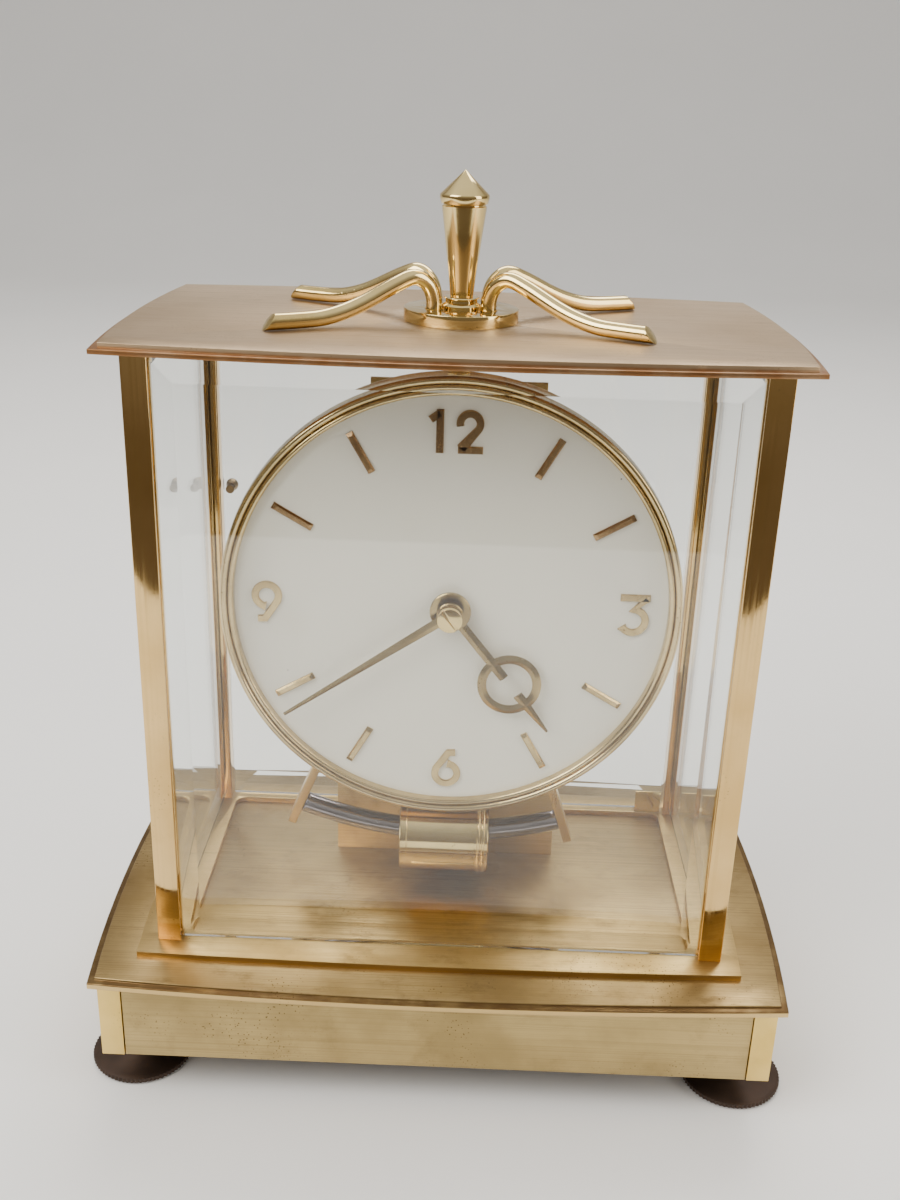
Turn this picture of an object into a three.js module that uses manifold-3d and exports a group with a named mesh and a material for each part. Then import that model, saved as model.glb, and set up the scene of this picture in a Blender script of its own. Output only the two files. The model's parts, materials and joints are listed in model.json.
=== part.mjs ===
// Four-glass mantel clock with a battery-driven swinging pendulum, in millimetres.
// X is to the right, Y runs from the front to the back, Z is up.
// The origin is on the table, under the middle of the case.
import * as THREE from "three";
import { mergeVertices } from "three/addons/utils/BufferGeometryUtils.js";
import Module from "manifold-3d";

const wasm = await Module();
wasm.setup();

// Plinth: four rails under a stepped cover plate with bowed edges.
const PLINTH_MARGIN_SIDE = 16.52; // from the pillars to the corners of the cover's lip
const PLINTH_MARGIN_FRONT = 18.11;
const PLINTH_BOW_FRONT = 3.6; // how far the middle of each edge stands proud of its corners
const PLINTH_BOW_SIDE = 3.4;
const PLINTH_FLOOR = 15.4; // underside of the rails above the table
const RAIL_HEIGHT = 24.8;
const RAIL_INSET_SIDE = 2.2; // from the lip's corner to the rail's outer face
const RAIL_INSET_FRONT = 1.8;
const RAIL_END = 6.6; // thickness of a side rail at its ends
const RAIL_WALL = 3.2; // and between them
const FRONT_RAIL = 4;
const RAIL_JOINT = 0.25; // dark joint between a side rail and its neighbours
const LIP = 1.9;
const COVER_STEP = 0.75; // the cover's middle stands this much above its lip
const COVER_INSET = 1.8;
const BOTTOM_SHEET = 2.5;
const BOTTOM_RECESS = 0.6; // the bottom sheet above the rails' undersides
const RAIL_SHOULDER = 5; // from a foot's stud to the thick end of a side rail

// Case: a low frame on the cover, four pillars, bevelled glass and a stepped top plate.
const CASE_WIDTH = 166.96; // over the pillars
const CASE_DEPTH = 89.18;
const CASE_HEIGHT = 175.3; // pillar length
const FRAME_MARGIN_SIDE = 5;
const FRAME_MARGIN_FRONT = 6.1;
const FRAME_BOW = 1.6;
const FRAME_SHEET = 1.8;
const FRAME_LEDGE_SIDE = 8.5; // from the pillars' outer faces to the opening
const FRAME_LEDGE_FRONT = 5.3;
const FRAME_CORNER = 4;
const PILLAR = 6.72;
const GLASS = 3;
const GLASS_SETBACK = 1; // from a pillar's outer face to the glass
const GLASS_BEVEL = 8;
const GLASS_BEVEL_DEPTH = 1.1;
const GROOVE_WEB = 0.37; // metal left between a front pillar's two grooves
const GLASS_PLAY = 0.15;
const TOP_OVERHANG_SIDE = 5.7; // from the pillars to the top lip's corner
const TOP_OVERHANG_FRONT = 6.8;
const TOP_BOW_FRONT = 4.9;
const TOP_BOW_SIDE = 2.7;
const TOP_LIP = 1.25;
const TOP_STEP = 1.35;
const TOP_INSET = 2;

// Rear door: a bevelled pane on two pivot shoes, with a pull knob.
const DOOR_GAP = 0.86;
const DOOR_AXIS_INSET = 1.2; // from the pane's edge to the pivots
const SHOE_LENGTH = 9;
const SHOE_HEIGHT = 8;
const SHOE_WEB = 0.8;
const SHOE_REACH = 1; // past the pivot, under the pane
const SHOE_PLAY = 0.1; // between pieces that are fixed together
const PIVOT_RADIUS = 0.7;
const PIVOT_LENGTH = 1.1;
const PIVOT_END_PLAY = 0.2;
const KNOB_RADIUS = 2;
const KNOB_STEM = 0.8;
const KNOB_LENGTH = 4;
const KNOB_ROUND = 0.6;
const KNOB_NECK = 0.8; // how much the knob narrows at the glass
const WASHER = 0.8;
const KNOB_INSET = 2.2; // from the pane's free edge
const KNOB_RISE = 114.45; // above the floor frame

// Handle on the top plate: rosette, four bent rods, collar and finial.
const ROSETTE_RADIUS = 15.9;
const ROSETTE_HEIGHT = 3.4;
const ROD_RADIUS = 2.15;
const ROD_ROOT = 8.6; // distance of each rod's foot from the middle
const ROD_REACH = 57.6;
const ROD_RISE = 9.8; // from a rod's straight end to its crest
const ROD_SOCKET = 2;
const ROD_LIFT = 0.12; // between a rod and the lid under it
const ROD_CUT = THREE.MathUtils.degToRad(38);
const ROD_ANGLE = THREE.MathUtils.degToRad(28.5);
const COLLAR_RADIUS = 5.3;
const COLLAR_HEIGHT = 3;
const COLLAR_WAIST = 0.9; // how much the collar narrows
const FINIAL_TAPER = 26.8;
const FINIAL_POINT = 6.3;
const FINIAL_RADIUS = 6.7;
const FINIAL_NECK = 3.15;
const STUD_RADIUS = 1.8;
const STUD_PLAY = 0.2;
const NUT_RADIUS = 4.2;
const NUT_HEIGHT = 3.4;
const STUD_END = 1.2; // below the nut

// Levelling feet.
const FOOT_RADIUS = 15.25;
const FOOT_DISC = 2.4;
const FOOT_INSET_SIDE = 8.7; // from the lip's corner to the foot's middle
const FOOT_INSET_FRONT = 21.4;
const FOOT_STUD_RADIUS = 2.2;
const FOOT_STUD_RISE = 5.5; // above the bottom sheet
const FOOT_CHAMFER = 0.4;

// Dial, measured forwards from the case's middle plane.
const DIAL_HEADROOM = 8.9; // from the bezel up to the top plate
const DIAL_FRONT = 22;
const DIAL_SHEET = 0.8;
const DIAL_RADIUS = 61.2; // seen inside the bezel
const BEZEL_BEAD = 3.4; // width of the raised ring
const BEZEL_EDGE = 0.65; // from the ring to the bezel's outer edge
const BEZEL_LAP = 2.35; // how far the bezel reaches in over the dial and the pan
const BEZEL_RETURN = 1.85; // its rim behind the dial
const BEZEL_ROUND = 0.9;
const BEZEL_RISE = 1.4; // from the dial to the middle of the bead
const BEZEL_SEAT = 0.1;
const PAN_DEPTH = 7;
const PAN_WALL = 0.8;
const PAN_MOUTH = 32; // hole in the back of the pan
const RIM_PLAY = 0.2;

// Movement: two plates behind the dial, and the motion work in front of them.
const FRONT_PLATE_RADIUS = 36;
const BACK_PLATE_RADIUS = 30;
const PLATE = 1.2;
const PLATE_GAP = 5.2;
const POST_RADIUS = 2;
const POST_INSET = 7; // from the pan's mouth to the posts
const ARBOR_RADIUS = 1.5;
const RUNNING_PLAY = 0.12; // radial, round a turning shaft
const CANNON_TEETH = 12;
const MINUTE_WHEEL_TEETH = 36;
const MINUTE_PINION_TEETH = 10;
const HOUR_WHEEL_TEETH = 40;
const TOOTH_OUT = 0.8; // tooth height outside the pitch circle, in modules
const TOOTH_IN = 1.15;
const TOOTH_ROOT = 0.27; // half a tooth's width at its root, in pitches
const TOOTH_TIP = 0.1;
const CANNON_MODULE = 0.5;
const GEAR_THICKNESS = 1.3;
const HOUR_PIPE_RADIUS = 2.6;
const STUB_RADIUS = 0.8;
const WHEEL_GAP = 0.3;
const COLLAR_RISE = 0.2; // the cannon pinion above the wheel beside it
const SPACER_RADIUS = 2.5;
const SPACER_X = 22;
const SPACER_Y = 14;
const SPACER_DROP = 25;
const COUNT_TEETH = 40;
const COUNT_RADIUS = 7;
const COUNT_SHEET = 0.8;
const COUNT_TOOTH = 0.7;
const COUNT_SLOPE = 0.95; // share of a pitch on a tooth's long side
const COUNT_GAP = 0.2; // between the wheel and the back plate
const PAWL_DROP = 8.5; // from the pivot down to the count wheel's teeth
const PAWL_GAP = 0.35;
const SETTING_KNOB_RADIUS = 7;
const SETTING_KNOB_GAP = 0.6; // between the knob and the bracket
const SETTING_KNOB_THICKNESS = 6.9;
const SETTING_KNOB_SHELL = 0.8; // closed back of the knob

// Hands: heights are the front faces, ahead of the middle plane.
const HOUR_HAND_FRONT = 25.6;
const MINUTE_HAND_FRONT = 28.4;
const HAND_SHEET = 0.9;
const MINUTE_HAND_GAP = 4; // from the tip to the bezel
const MINUTE_HAND_WIDTH = 2.9;
const HOUR_HAND_WIDTH = 2.8;
const HOUR_BOSS_RADIUS = 5.8;
const HOUR_RING_CENTRE = 28.1;
const HOUR_RING_RADIUS = 9.2;
const HOUR_RING_BAND = 2.6;
const HOUR_BAR_END = 25.5;
const HOUR_TIP_START = 32.2;
const HOUR_HAND_LENGTH = 46.8;
const MINUTE_ANGLE = THREE.MathUtils.degToRad(235.2); // clockwise from twelve
const HOUR_ANGLE = THREE.MathUtils.degToRad(141.4);
const HAND_NUT_RADIUS = 3.5;
const HAND_BOSS_MARGIN = 0.3; // the minute hand's boss round the nut
const HAND_NUT_LENGTH = 3.4;
const HAND_NUT_CROWN = 1.1; // closed front of the nut
const HAND_NUT_SLOT = 0.8;
const HAND_NUT_TURN = THREE.MathUtils.degToRad(52);
const HAND_TIP = 0.5; // half the width of each hand's tip
const HOUR_TIP_SHOULDER = 3;

// Pendulum: a V of two arms with a curved bar magnet that swings through the coil.
const PIVOT_RISE = 37.7; // above the dial's centre
const MAGNET_RISE = 18.85; // lowest point of the magnet's line above the cover
const MAGNET_HALF_ANGLE = THREE.MathUtils.degToRad(19.25);
const MAGNET_RADIUS = 3.2;
const MAGNET_END_GAP = 0.03125; // from its slanting ends to the arms, per unit of its radius
const PENDULUM_FRONT = 4; // the pendulum's middle plane, ahead of the case's
const PENDULUM_TILT = THREE.MathUtils.degToRad(2.2); // towards the left
const ARM_THICKNESS = 2.6;
const ARM_WIDTH = 5.5;
const ARM_TAIL = 7.4; // below the magnet's centre line
const HUB_RADIUS = 3.8;
const HUB_LENGTH = 8.6;
const HUB_SLOT = 1.5;
const HUB_SLOT_FLOOR = 0.4; // below the pivot
const PAWL_WIDTH = 1;
const PAWL_SHEET = 0.7;
const SPRING_SHEET = 0.3;
const SPRING_WIDTH = 5;
const SPRING_LENGTH = 7.5; // from the pivot up to the cock
const COCK_SHEET = 5;
const COCK_WIDTH = 10;
const COCK_FOOT_WIDTH = 16;
const COCK_FOOT_SHEET = 2;
const COCK_FOOT_DROP = 6;
const COCK_FOOT_RISE = 8;
const COCK_NOSE = 4; // ahead of the pendulum's plane

// Coil in its brass cover.
const COIL_RADIUS = 13.5;
const COIL_LENGTH = 27.6;
const COIL_WALL = 0.7;
const COIL_BORE = 4.8;
const COIL_EYE = 5.6;
const BOBBIN_WALL = 1;
const FLANGE_PLAY = 0.3;
const WINDING_MARGIN = 0.6; // from the winding to the flanges' rims
const SADDLE = 18; // width of the block that carries the coil
const SADDLE_HEIGHT = 14;
const SADDLE_DEPTH = 1.8; // how far it laps the coil
const COIL_LIFT = 0.35; // the coil's axis above the lowest point of the magnet's line

// Battery box, and the bracket that stands on it.
const BOX_END_ROOM = 11.5; // beside each end of the battery
const BOX_HEADROOM = 4.6; // over the battery
const BOX_FRONT = 12.5; // behind the middle plane
const BOX_SHEET = 0.8;
const BATTERY_RADIUS = 12.7;
const BATTERY_LENGTH = 49;
const BATTERY_LIFT = 0.15; // clear of the box's floor and front
const BATTERY_CAP_RADIUS = 3;
const BATTERY_CAP = 1.5;
const CONTACT_SHEET = 0.8;
const CONTACT_WIDTH = 16;
const CONTACT_RISE = 7; // above the battery's middle
const BRACKET_WIDTH = 52;
const BRACKET_SHEET = 1.5;
const BRACKET_FOOT_END = 8; // from the box's back edge
const BRACKET_HOLE_PLAY = 0.6;

// The coil's circuit board on the bracket.
const BOARD_WIDTH = 34;
const BOARD_HEIGHT = 28;
const BOARD_SHEET = 1.6;
const BOARD_STANDOFF = 1;
const BOARD_DROP = 8; // below the setting knob
const LUG_X = 12;
const LUG_SIZE = 4;
const LUG_DROP = 14;
const TRANSISTOR_RADIUS = 4;
const TRANSISTOR_HEIGHT = 5.6;
const TRANSISTOR_X = -7;
const TRANSISTOR_DROP = 9;
const RESISTOR_THICKNESS = 2.4;
const RESISTOR_LENGTH = 10;
const RESISTOR_X = 1;
const RESISTOR_DROPS = [16, 21];
const SOLDERED = 0.2; // how far joined pieces of the board lap

// Heights and faces that follow from the sizes above.
const PLINTH_WIDTH = CASE_WIDTH + 2 * PLINTH_MARGIN_SIDE;
const PLINTH_DEPTH = CASE_DEPTH + 2 * PLINTH_MARGIN_FRONT;
const FOOT_X = PLINTH_WIDTH / 2 - FOOT_INSET_SIDE;
const FOOT_Y = PLINTH_DEPTH / 2 - FOOT_INSET_FRONT;
const BOTTOM_UNDER = PLINTH_FLOOR + BOTTOM_RECESS;
const FOOT_STUD_TOP = BOTTOM_UNDER + BOTTOM_SHEET + FOOT_STUD_RISE;
const LIP_UNDER = PLINTH_FLOOR + RAIL_HEIGHT;
const COVER_TOP = LIP_UNDER + LIP + COVER_STEP;
const FRAME_TOP = COVER_TOP + FRAME_SHEET;
const PILLAR_TOP = FRAME_TOP + CASE_HEIGHT;
const LID_TOP = PILLAR_TOP + TOP_LIP + TOP_STEP;
const KNOB_HEIGHT = FRAME_TOP + KNOB_RISE;
const BEZEL_BEAD_RADIUS = DIAL_RADIUS + BEZEL_BEAD;
const BEZEL_RADIUS = BEZEL_BEAD_RADIUS + BEZEL_EDGE;
const DIAL_CENTRE = PILLAR_TOP - DIAL_HEADROOM - BEZEL_RADIUS;
const MINUTE_HAND_LENGTH = DIAL_RADIUS - MINUTE_HAND_GAP;
const PIVOT_HEIGHT = DIAL_CENTRE + PIVOT_RISE;
const COCK_UNDER = PIVOT_HEIGHT + SPRING_LENGTH;
const BRACKET_TOP = COCK_UNDER + COCK_FOOT_RISE;
const KNOB_BACK = -BOX_FRONT - BRACKET_SHEET - SETTING_KNOB_GAP - SETTING_KNOB_THICKNESS;
const BOX_WIDTH = BATTERY_LENGTH + 2 * BOX_END_ROOM;
const BOX_HEIGHT = 2 * (BATTERY_RADIUS + BOX_SHEET) + BOX_HEADROOM;
const ROSETTE_TOP = LID_TOP + ROSETTE_HEIGHT;
const GROOVE_DEPTH = PILLAR - GLASS_SETBACK - GLASS - GLASS_PLAY - GROOVE_WEB;
const GLASS_HEIGHT = CASE_HEIGHT - 2 * GLASS_PLAY;
const GLASS_MIDDLE = FRAME_TOP + CASE_HEIGHT / 2;
const POST_X = CASE_WIDTH / 2 - PILLAR / 2;
const POST_Y = CASE_DEPTH / 2 - PILLAR / 2;
const GLASS_X = CASE_WIDTH / 2 - GLASS_SETBACK; // outer faces of the panes
const GLASS_Y = CASE_DEPTH / 2 - GLASS_SETBACK;
const PLATE_FRONT = DIAL_FRONT - DIAL_SHEET - PAN_DEPTH + PAN_WALL + PLATE;
const BACK_PLATE_FRONT = PLATE_FRONT - PLATE - PLATE_GAP;
const BACK_PLATE_REAR = BACK_PLATE_FRONT - PLATE;
const MAGNET_HEIGHT = COVER_TOP + MAGNET_RISE;
const MAGNET_SWEEP_RADIUS = PIVOT_HEIGHT - MAGNET_HEIGHT;
const BOX_BACK = CASE_DEPTH / 2 - FRAME_LEDGE_FRONT - GLASS_PLAY;

const BRUSHED_BRASS = { color: 0xa08350, metalness: 1, roughness: 0.38 };
const POLISHED_BRASS = { color: 0xc79a3e, metalness: 1, roughness: 0.16 };
const ROSE_BRASS = { color: 0xb5834a, metalness: 1, roughness: 0.12 };
const CLEAR_GLASS = { color: 0xdfe6e2, metalness: 0, roughness: 0.03, transparent: true, opacity: 0.3 };
const IVORY = { color: 0xd8d4c6, metalness: 0.1, roughness: 0.55 };
const BLACK_IRON = { color: 0x2a211c, metalness: 0.6, roughness: 0.5 };
const DARK_STEEL = { color: 0x55504f, metalness: 1, roughness: 0.2 };
const GILT = { color: 0xb89a55, metalness: 1, roughness: 0.25 };
const COPPER_WIRE = { color: 0x9a4b24, metalness: 0.8, roughness: 0.35 };
const BLACK_PLASTIC = { color: 0x1b1b1c, metalness: 0, roughness: 0.5 };
const BOARD_BROWN = { color: 0x7a5a2c, metalness: 0, roughness: 0.6 };
const ZINC_CAN = { color: 0x8a1f1c, metalness: 0.2, roughness: 0.4 };

const clock = new THREE.Group();

function addMesh(name, geometry, finish, parent = clock) {
  const mesh = new THREE.Mesh(geometry, new THREE.MeshStandardMaterial(finish));
  mesh.name = name;
  parent.add(mesh);
  return mesh;
}

// A closed geometry as a solid that can be joined and cut.
function solid(geometry) {
  const bare = geometry.clone();
  bare.deleteAttribute("normal");
  bare.deleteAttribute("uv");
  const merged = mergeVertices(bare, 1e-4);
  return new wasm.Manifold(
    new wasm.Mesh({
      numProp: 3,
      vertProperties: new Float32Array(merged.attributes.position.array),
      triVerts: new Uint32Array(merged.index.array),
    }),
  );
}

function geometryOf(manifold) {
  const mesh = manifold.getMesh();
  const geometry = new THREE.BufferGeometry();
  geometry.setAttribute("position", new THREE.BufferAttribute(mesh.vertProperties, 3));
  geometry.setIndex(new THREE.BufferAttribute(mesh.triVerts, 1));
  const flat = geometry.toNonIndexed();
  flat.computeVertexNormals();
  return flat;
}

function join(first, ...others) {
  return geometryOf(others.reduce((all, one) => all.add(solid(one)), solid(first)));
}

function cut(body, ...tools) {
  return geometryOf(tools.reduce((rest, tool) => rest.subtract(solid(tool)), solid(body)));
}

// A box between two corners.
function block(x0, y0, z0, x1, y1, z1) {
  return new THREE.BoxGeometry(x1 - x0, y1 - y0, z1 - z0).translate(
    (x0 + x1) / 2,
    (y0 + y1) / 2,
    (z0 + z1) / 2,
  );
}

// A round bar along Z between two heights.
function rod(radius, z0, z1, sides = 24) {
  return new THREE.CylinderGeometry(radius, radius, z1 - z0, sides)
    .rotateX(Math.PI / 2)
    .translate(0, 0, (z0 + z1) / 2);
}

function extruded(shape, z0, z1, curveSegments = 6) {
  return new THREE.ExtrudeGeometry(shape, {
    depth: z1 - z0,
    bevelEnabled: false,
    curveSegments,
  }).translate(0, 0, z0);
}

// A profile of [radius, height] points turned about Z.
function turned(points, sides = 24) {
  const outline = points.map(([radius, height]) => new THREE.Vector2(radius, height));
  return new THREE.LatheGeometry(outline, sides).rotateX(Math.PI / 2);
}

function polygon(points) {
  return new THREE.Shape(points.map(([x, y]) => new THREE.Vector2(x, y)));
}

function circle(radius, x = 0, y = 0) {
  return new THREE.Path().absarc(x, y, radius, 0, 2 * Math.PI, true);
}

function disc(radius) {
  return new THREE.Shape().absarc(0, 0, radius, 0, 2 * Math.PI, false);
}

// Adds an arc from one corner to the next that stands out to the right by the given bow.
function bowTo(shape, x0, y0, x1, y1, bow) {
  const half = Math.hypot(x1 - x0, y1 - y0) / 2;
  const radius = (half * half + bow * bow) / (2 * bow);
  const away = (radius - bow) / (2 * half);
  const cx = (x0 + x1) / 2 - (y1 - y0) * away;
  const cy = (y0 + y1) / 2 + (x1 - x0) * away;
  shape.absarc(cx, cy, radius, Math.atan2(y0 - cy, x0 - cx), Math.atan2(y1 - cy, x1 - cx), false);
}

// A rectangle with all four edges bowed outwards.
function bowedRectangle(halfX, halfY, bowFront, bowSide) {
  const shape = new THREE.Shape();
  bowTo(shape, -halfX, -halfY, halfX, -halfY, bowFront);
  bowTo(shape, halfX, -halfY, halfX, halfY, bowSide);
  bowTo(shape, halfX, halfY, -halfX, halfY, bowFront);
  bowTo(shape, -halfX, halfY, -halfX, -halfY, bowSide);
  return shape;
}

function roundedHole(halfX, halfY, radius) {
  const hole = new THREE.Path();
  const quarter = Math.PI / 2;
  const corners = [
    [-1, -1, 2],
    [1, -1, 3],
    [1, 1, 0],
    [-1, 1, 1],
  ];
  for (const [sx, sy, turn] of corners) {
    hole.absarc(
      sx * (halfX - radius),
      sy * (halfY - radius),
      radius,
      turn * quarter,
      (turn + 1) * quarter,
      false,
    );
  }
  return hole;
}

// A wheel with trapezoid teeth. Tooth 0 is turned by the given part of a tooth pitch.
function gearShape(teeth, module, phase = 0) {
  const pitch = (2 * Math.PI) / teeth;
  const radius = (teeth * module) / 2;
  const root = radius - TOOTH_IN * module;
  const tip = radius + TOOTH_OUT * module;
  const points = [];
  for (let tooth = 0; tooth < teeth; tooth++) {
    const middle = (tooth + phase) * pitch;
    const corners = [
      [root, -TOOTH_ROOT],
      [tip, -TOOTH_TIP],
      [tip, TOOTH_TIP],
      [root, TOOTH_ROOT],
    ];
    for (const [r, share] of corners) {
      points.push([r * Math.cos(middle + share * pitch), r * Math.sin(middle + share * pitch)]);
    }
  }
  return polygon(points);
}

function addPlinth() {
  const halfX = PLINTH_WIDTH / 2;
  const halfY = PLINTH_DEPTH / 2;
  const lipTop = LIP_UNDER + LIP;
  const lip = bowedRectangle(halfX, halfY, PLINTH_BOW_FRONT, PLINTH_BOW_SIDE);
  const middle = bowedRectangle(
    halfX - COVER_INSET,
    halfY - COVER_INSET,
    PLINTH_BOW_FRONT,
    PLINTH_BOW_SIDE,
  );
  const cover = join(extruded(lip, LIP_UNDER, lipTop), extruded(middle, lipTop, COVER_TOP));
  addMesh("plinth_cover", cover, BRUSHED_BRASS);

  const railX = halfX - RAIL_INSET_SIDE;
  const railY = halfY - RAIL_INSET_FRONT;
  const endY = FOOT_Y + FOOT_STUD_RADIUS + RAIL_SHOULDER;
  const reach = RAIL_END + RAIL_JOINT;
  for (const side of [-1, 1]) {
    const word = side < 0 ? "left" : "right";
    const outline = polygon([
      [railX, -railY],
      [railX, railY],
      [railX - RAIL_END, railY],
      [railX - RAIL_END, endY],
      [railX - RAIL_WALL, endY],
      [railX - RAIL_WALL, -endY],
      [railX - RAIL_END, -endY],
      [railX - RAIL_END, -railY],
    ]);
    const rail = extruded(outline, PLINTH_FLOOR, LIP_UNDER);
    if (side < 0) {
      rail.rotateZ(Math.PI);
    }
    addMesh(`plinth_rail_${word}`, rail, POLISHED_BRASS);
    const faceY = side * (railY - RAIL_JOINT);
    const backY = faceY - side * FRONT_RAIL;
    addMesh(
      side < 0 ? "plinth_rail_front" : "plinth_rail_rear",
      block(
        -railX + reach,
        Math.min(faceY, backY),
        PLINTH_FLOOR,
        railX - reach,
        Math.max(faceY, backY),
        LIP_UNDER,
      ),
      BRUSHED_BRASS,
    );
  }

  const wideX = railX - RAIL_WALL - RAIL_JOINT;
  const wideY = endY - RAIL_JOINT;
  const longX = railX - reach;
  const longY = railY - RAIL_JOINT - FRONT_RAIL - RAIL_JOINT;
  const sheet = polygon([
    [-wideX, -wideY],
    [-longX, -wideY],
    [-longX, -longY],
    [longX, -longY],
    [longX, -wideY],
    [wideX, -wideY],
    [wideX, wideY],
    [longX, wideY],
    [longX, longY],
    [-longX, longY],
    [-longX, wideY],
    [-wideX, wideY],
  ]);
  for (const [x, y] of footPlaces()) {
    sheet.holes.push(circle(FOOT_STUD_RADIUS + 2 * RUNNING_PLAY, x, y));
  }
  const bottom = extruded(sheet, BOTTOM_UNDER, BOTTOM_UNDER + BOTTOM_SHEET, 8);
  addMesh("plinth_bottom", bottom, BLACK_IRON);
}

function footPlaces() {
  return [
    [-FOOT_X, -FOOT_Y],
    [FOOT_X, -FOOT_Y],
    [-FOOT_X, FOOT_Y],
    [FOOT_X, FOOT_Y],
  ];
}

function addFeet() {
  const profile = [
    [0, 0],
    [FOOT_RADIUS - FOOT_CHAMFER, 0],
    [FOOT_RADIUS, FOOT_CHAMFER],
    [FOOT_RADIUS, FOOT_DISC - FOOT_CHAMFER],
    [FOOT_RADIUS - FOOT_CHAMFER, FOOT_DISC],
    [FOOT_STUD_RADIUS, FOOT_DISC],
    [FOOT_STUD_RADIUS, FOOT_STUD_TOP],
    [0, FOOT_STUD_TOP],
  ];
  const names = ["front_left", "front_right", "rear_left", "rear_right"];
  footPlaces().forEach(([x, y], index) => {
    const foot = addMesh(`foot_${names[index]}`, turned(profile, 24), BLACK_IRON);
    foot.position.set(x, y, 0);
  });
}

function addFloorFrame() {
  const outline = bowedRectangle(
    CASE_WIDTH / 2 + FRAME_MARGIN_SIDE,
    CASE_DEPTH / 2 + FRAME_MARGIN_FRONT,
    FRAME_BOW,
    FRAME_BOW,
  );
  outline.holes.push(
    roundedHole(CASE_WIDTH / 2 - FRAME_LEDGE_SIDE, CASE_DEPTH / 2 - FRAME_LEDGE_FRONT, FRAME_CORNER),
  );
  const frame = extruded(outline, COVER_TOP, FRAME_TOP);
  const pivot = rod(PIVOT_RADIUS + RUNNING_PLAY, COVER_TOP - 1, FRAME_TOP + 1);
  pivot.translate(doorAxisX(), doorMiddleY(), 0);
  addMesh("floor_frame", cut(frame, pivot), BRUSHED_BRASS);
}

// A square pillar at the positive corner, grooved for a side pane and, at the front, for two.
function pillarShape(front) {
  const near = PILLAR / 2;
  const outerX = CASE_WIDTH / 2 - POST_X;
  const sideX0 = outerX - GLASS_SETBACK - GLASS - GLASS_PLAY;
  const sideX1 = outerX - GLASS_SETBACK + GLASS_PLAY;
  const points = [
    [near, near],
    [-near, near],
  ];
  if (front) {
    const faceY1 = near - GLASS_SETBACK + GLASS_PLAY;
    const faceY0 = faceY1 - GLASS - 2 * GLASS_PLAY;
    points.push([-near, faceY1], [-near + GROOVE_DEPTH, faceY1]);
    points.push([-near + GROOVE_DEPTH, faceY0], [-near, faceY0]);
  }
  points.push([-near, -near], [sideX0, -near], [sideX0, -near + GROOVE_DEPTH]);
  points.push([sideX1, -near + GROOVE_DEPTH], [sideX1, -near], [near, -near]);
  return points;
}

function addPillars() {
  for (const [name, sx, sy] of [
    ["front_left", -1, -1],
    ["front_right", 1, -1],
    ["rear_left", -1, 1],
    ["rear_right", 1, 1],
  ]) {
    const points = pillarShape(sy < 0).map(([x, y]) => [sx * x, sy * y]);
    if (sx * sy < 0) {
      points.reverse();
    }
    const pillar = addMesh(`pillar_${name}`, extruded(polygon(points), 0, CASE_HEIGHT), ROSE_BRASS);
    pillar.position.set(sx * POST_X, sy * POST_Y, FRAME_TOP);
  }
}

// A pane that stands on its edge in the XZ plane, its bevelled face looking along -Y at y = 0.
function pane(width, height) {
  const half = width / 2;
  const tall = height / 2;
  const outline = polygon([
    [-half, -tall],
    [half, -tall],
    [half, tall],
    [-half, tall],
  ]);
  const bevelled = new THREE.ExtrudeGeometry(outline, {
    depth: GLASS - 2 * GLASS_BEVEL_DEPTH,
    bevelThickness: GLASS_BEVEL_DEPTH,
    bevelSize: GLASS_BEVEL,
    bevelOffset: -GLASS_BEVEL,
    bevelSegments: 1,
  }).translate(0, 0, GLASS_BEVEL_DEPTH);
  const back = extruded(outline, 0, GLASS - GLASS_BEVEL_DEPTH);
  return join(bevelled, back).translate(0, 0, -GLASS).rotateX(Math.PI / 2);
}

function doorAxisX() {
  return CASE_WIDTH / 2 - PILLAR - DOOR_GAP - DOOR_AXIS_INSET;
}

function doorMiddleY() {
  return GLASS_Y - GLASS / 2;
}

function addGlass() {
  const reachX = CASE_WIDTH / 2 - PILLAR + GROOVE_DEPTH - GLASS_PLAY;
  const reachY = CASE_DEPTH / 2 - PILLAR + GROOVE_DEPTH - GLASS_PLAY;
  const front = addMesh("glass_front", pane(2 * reachX, GLASS_HEIGHT), CLEAR_GLASS);
  front.position.set(0, -GLASS_Y, GLASS_MIDDLE);
  for (const [name, side] of [
    ["glass_left", -1],
    ["glass_right", 1],
  ]) {
    const mesh = addMesh(name, pane(2 * reachY, GLASS_HEIGHT), CLEAR_GLASS);
    mesh.rotation.z = (side * Math.PI) / 2;
    mesh.position.set(side * GLASS_X, 0, GLASS_MIDDLE);
  }
}

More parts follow.
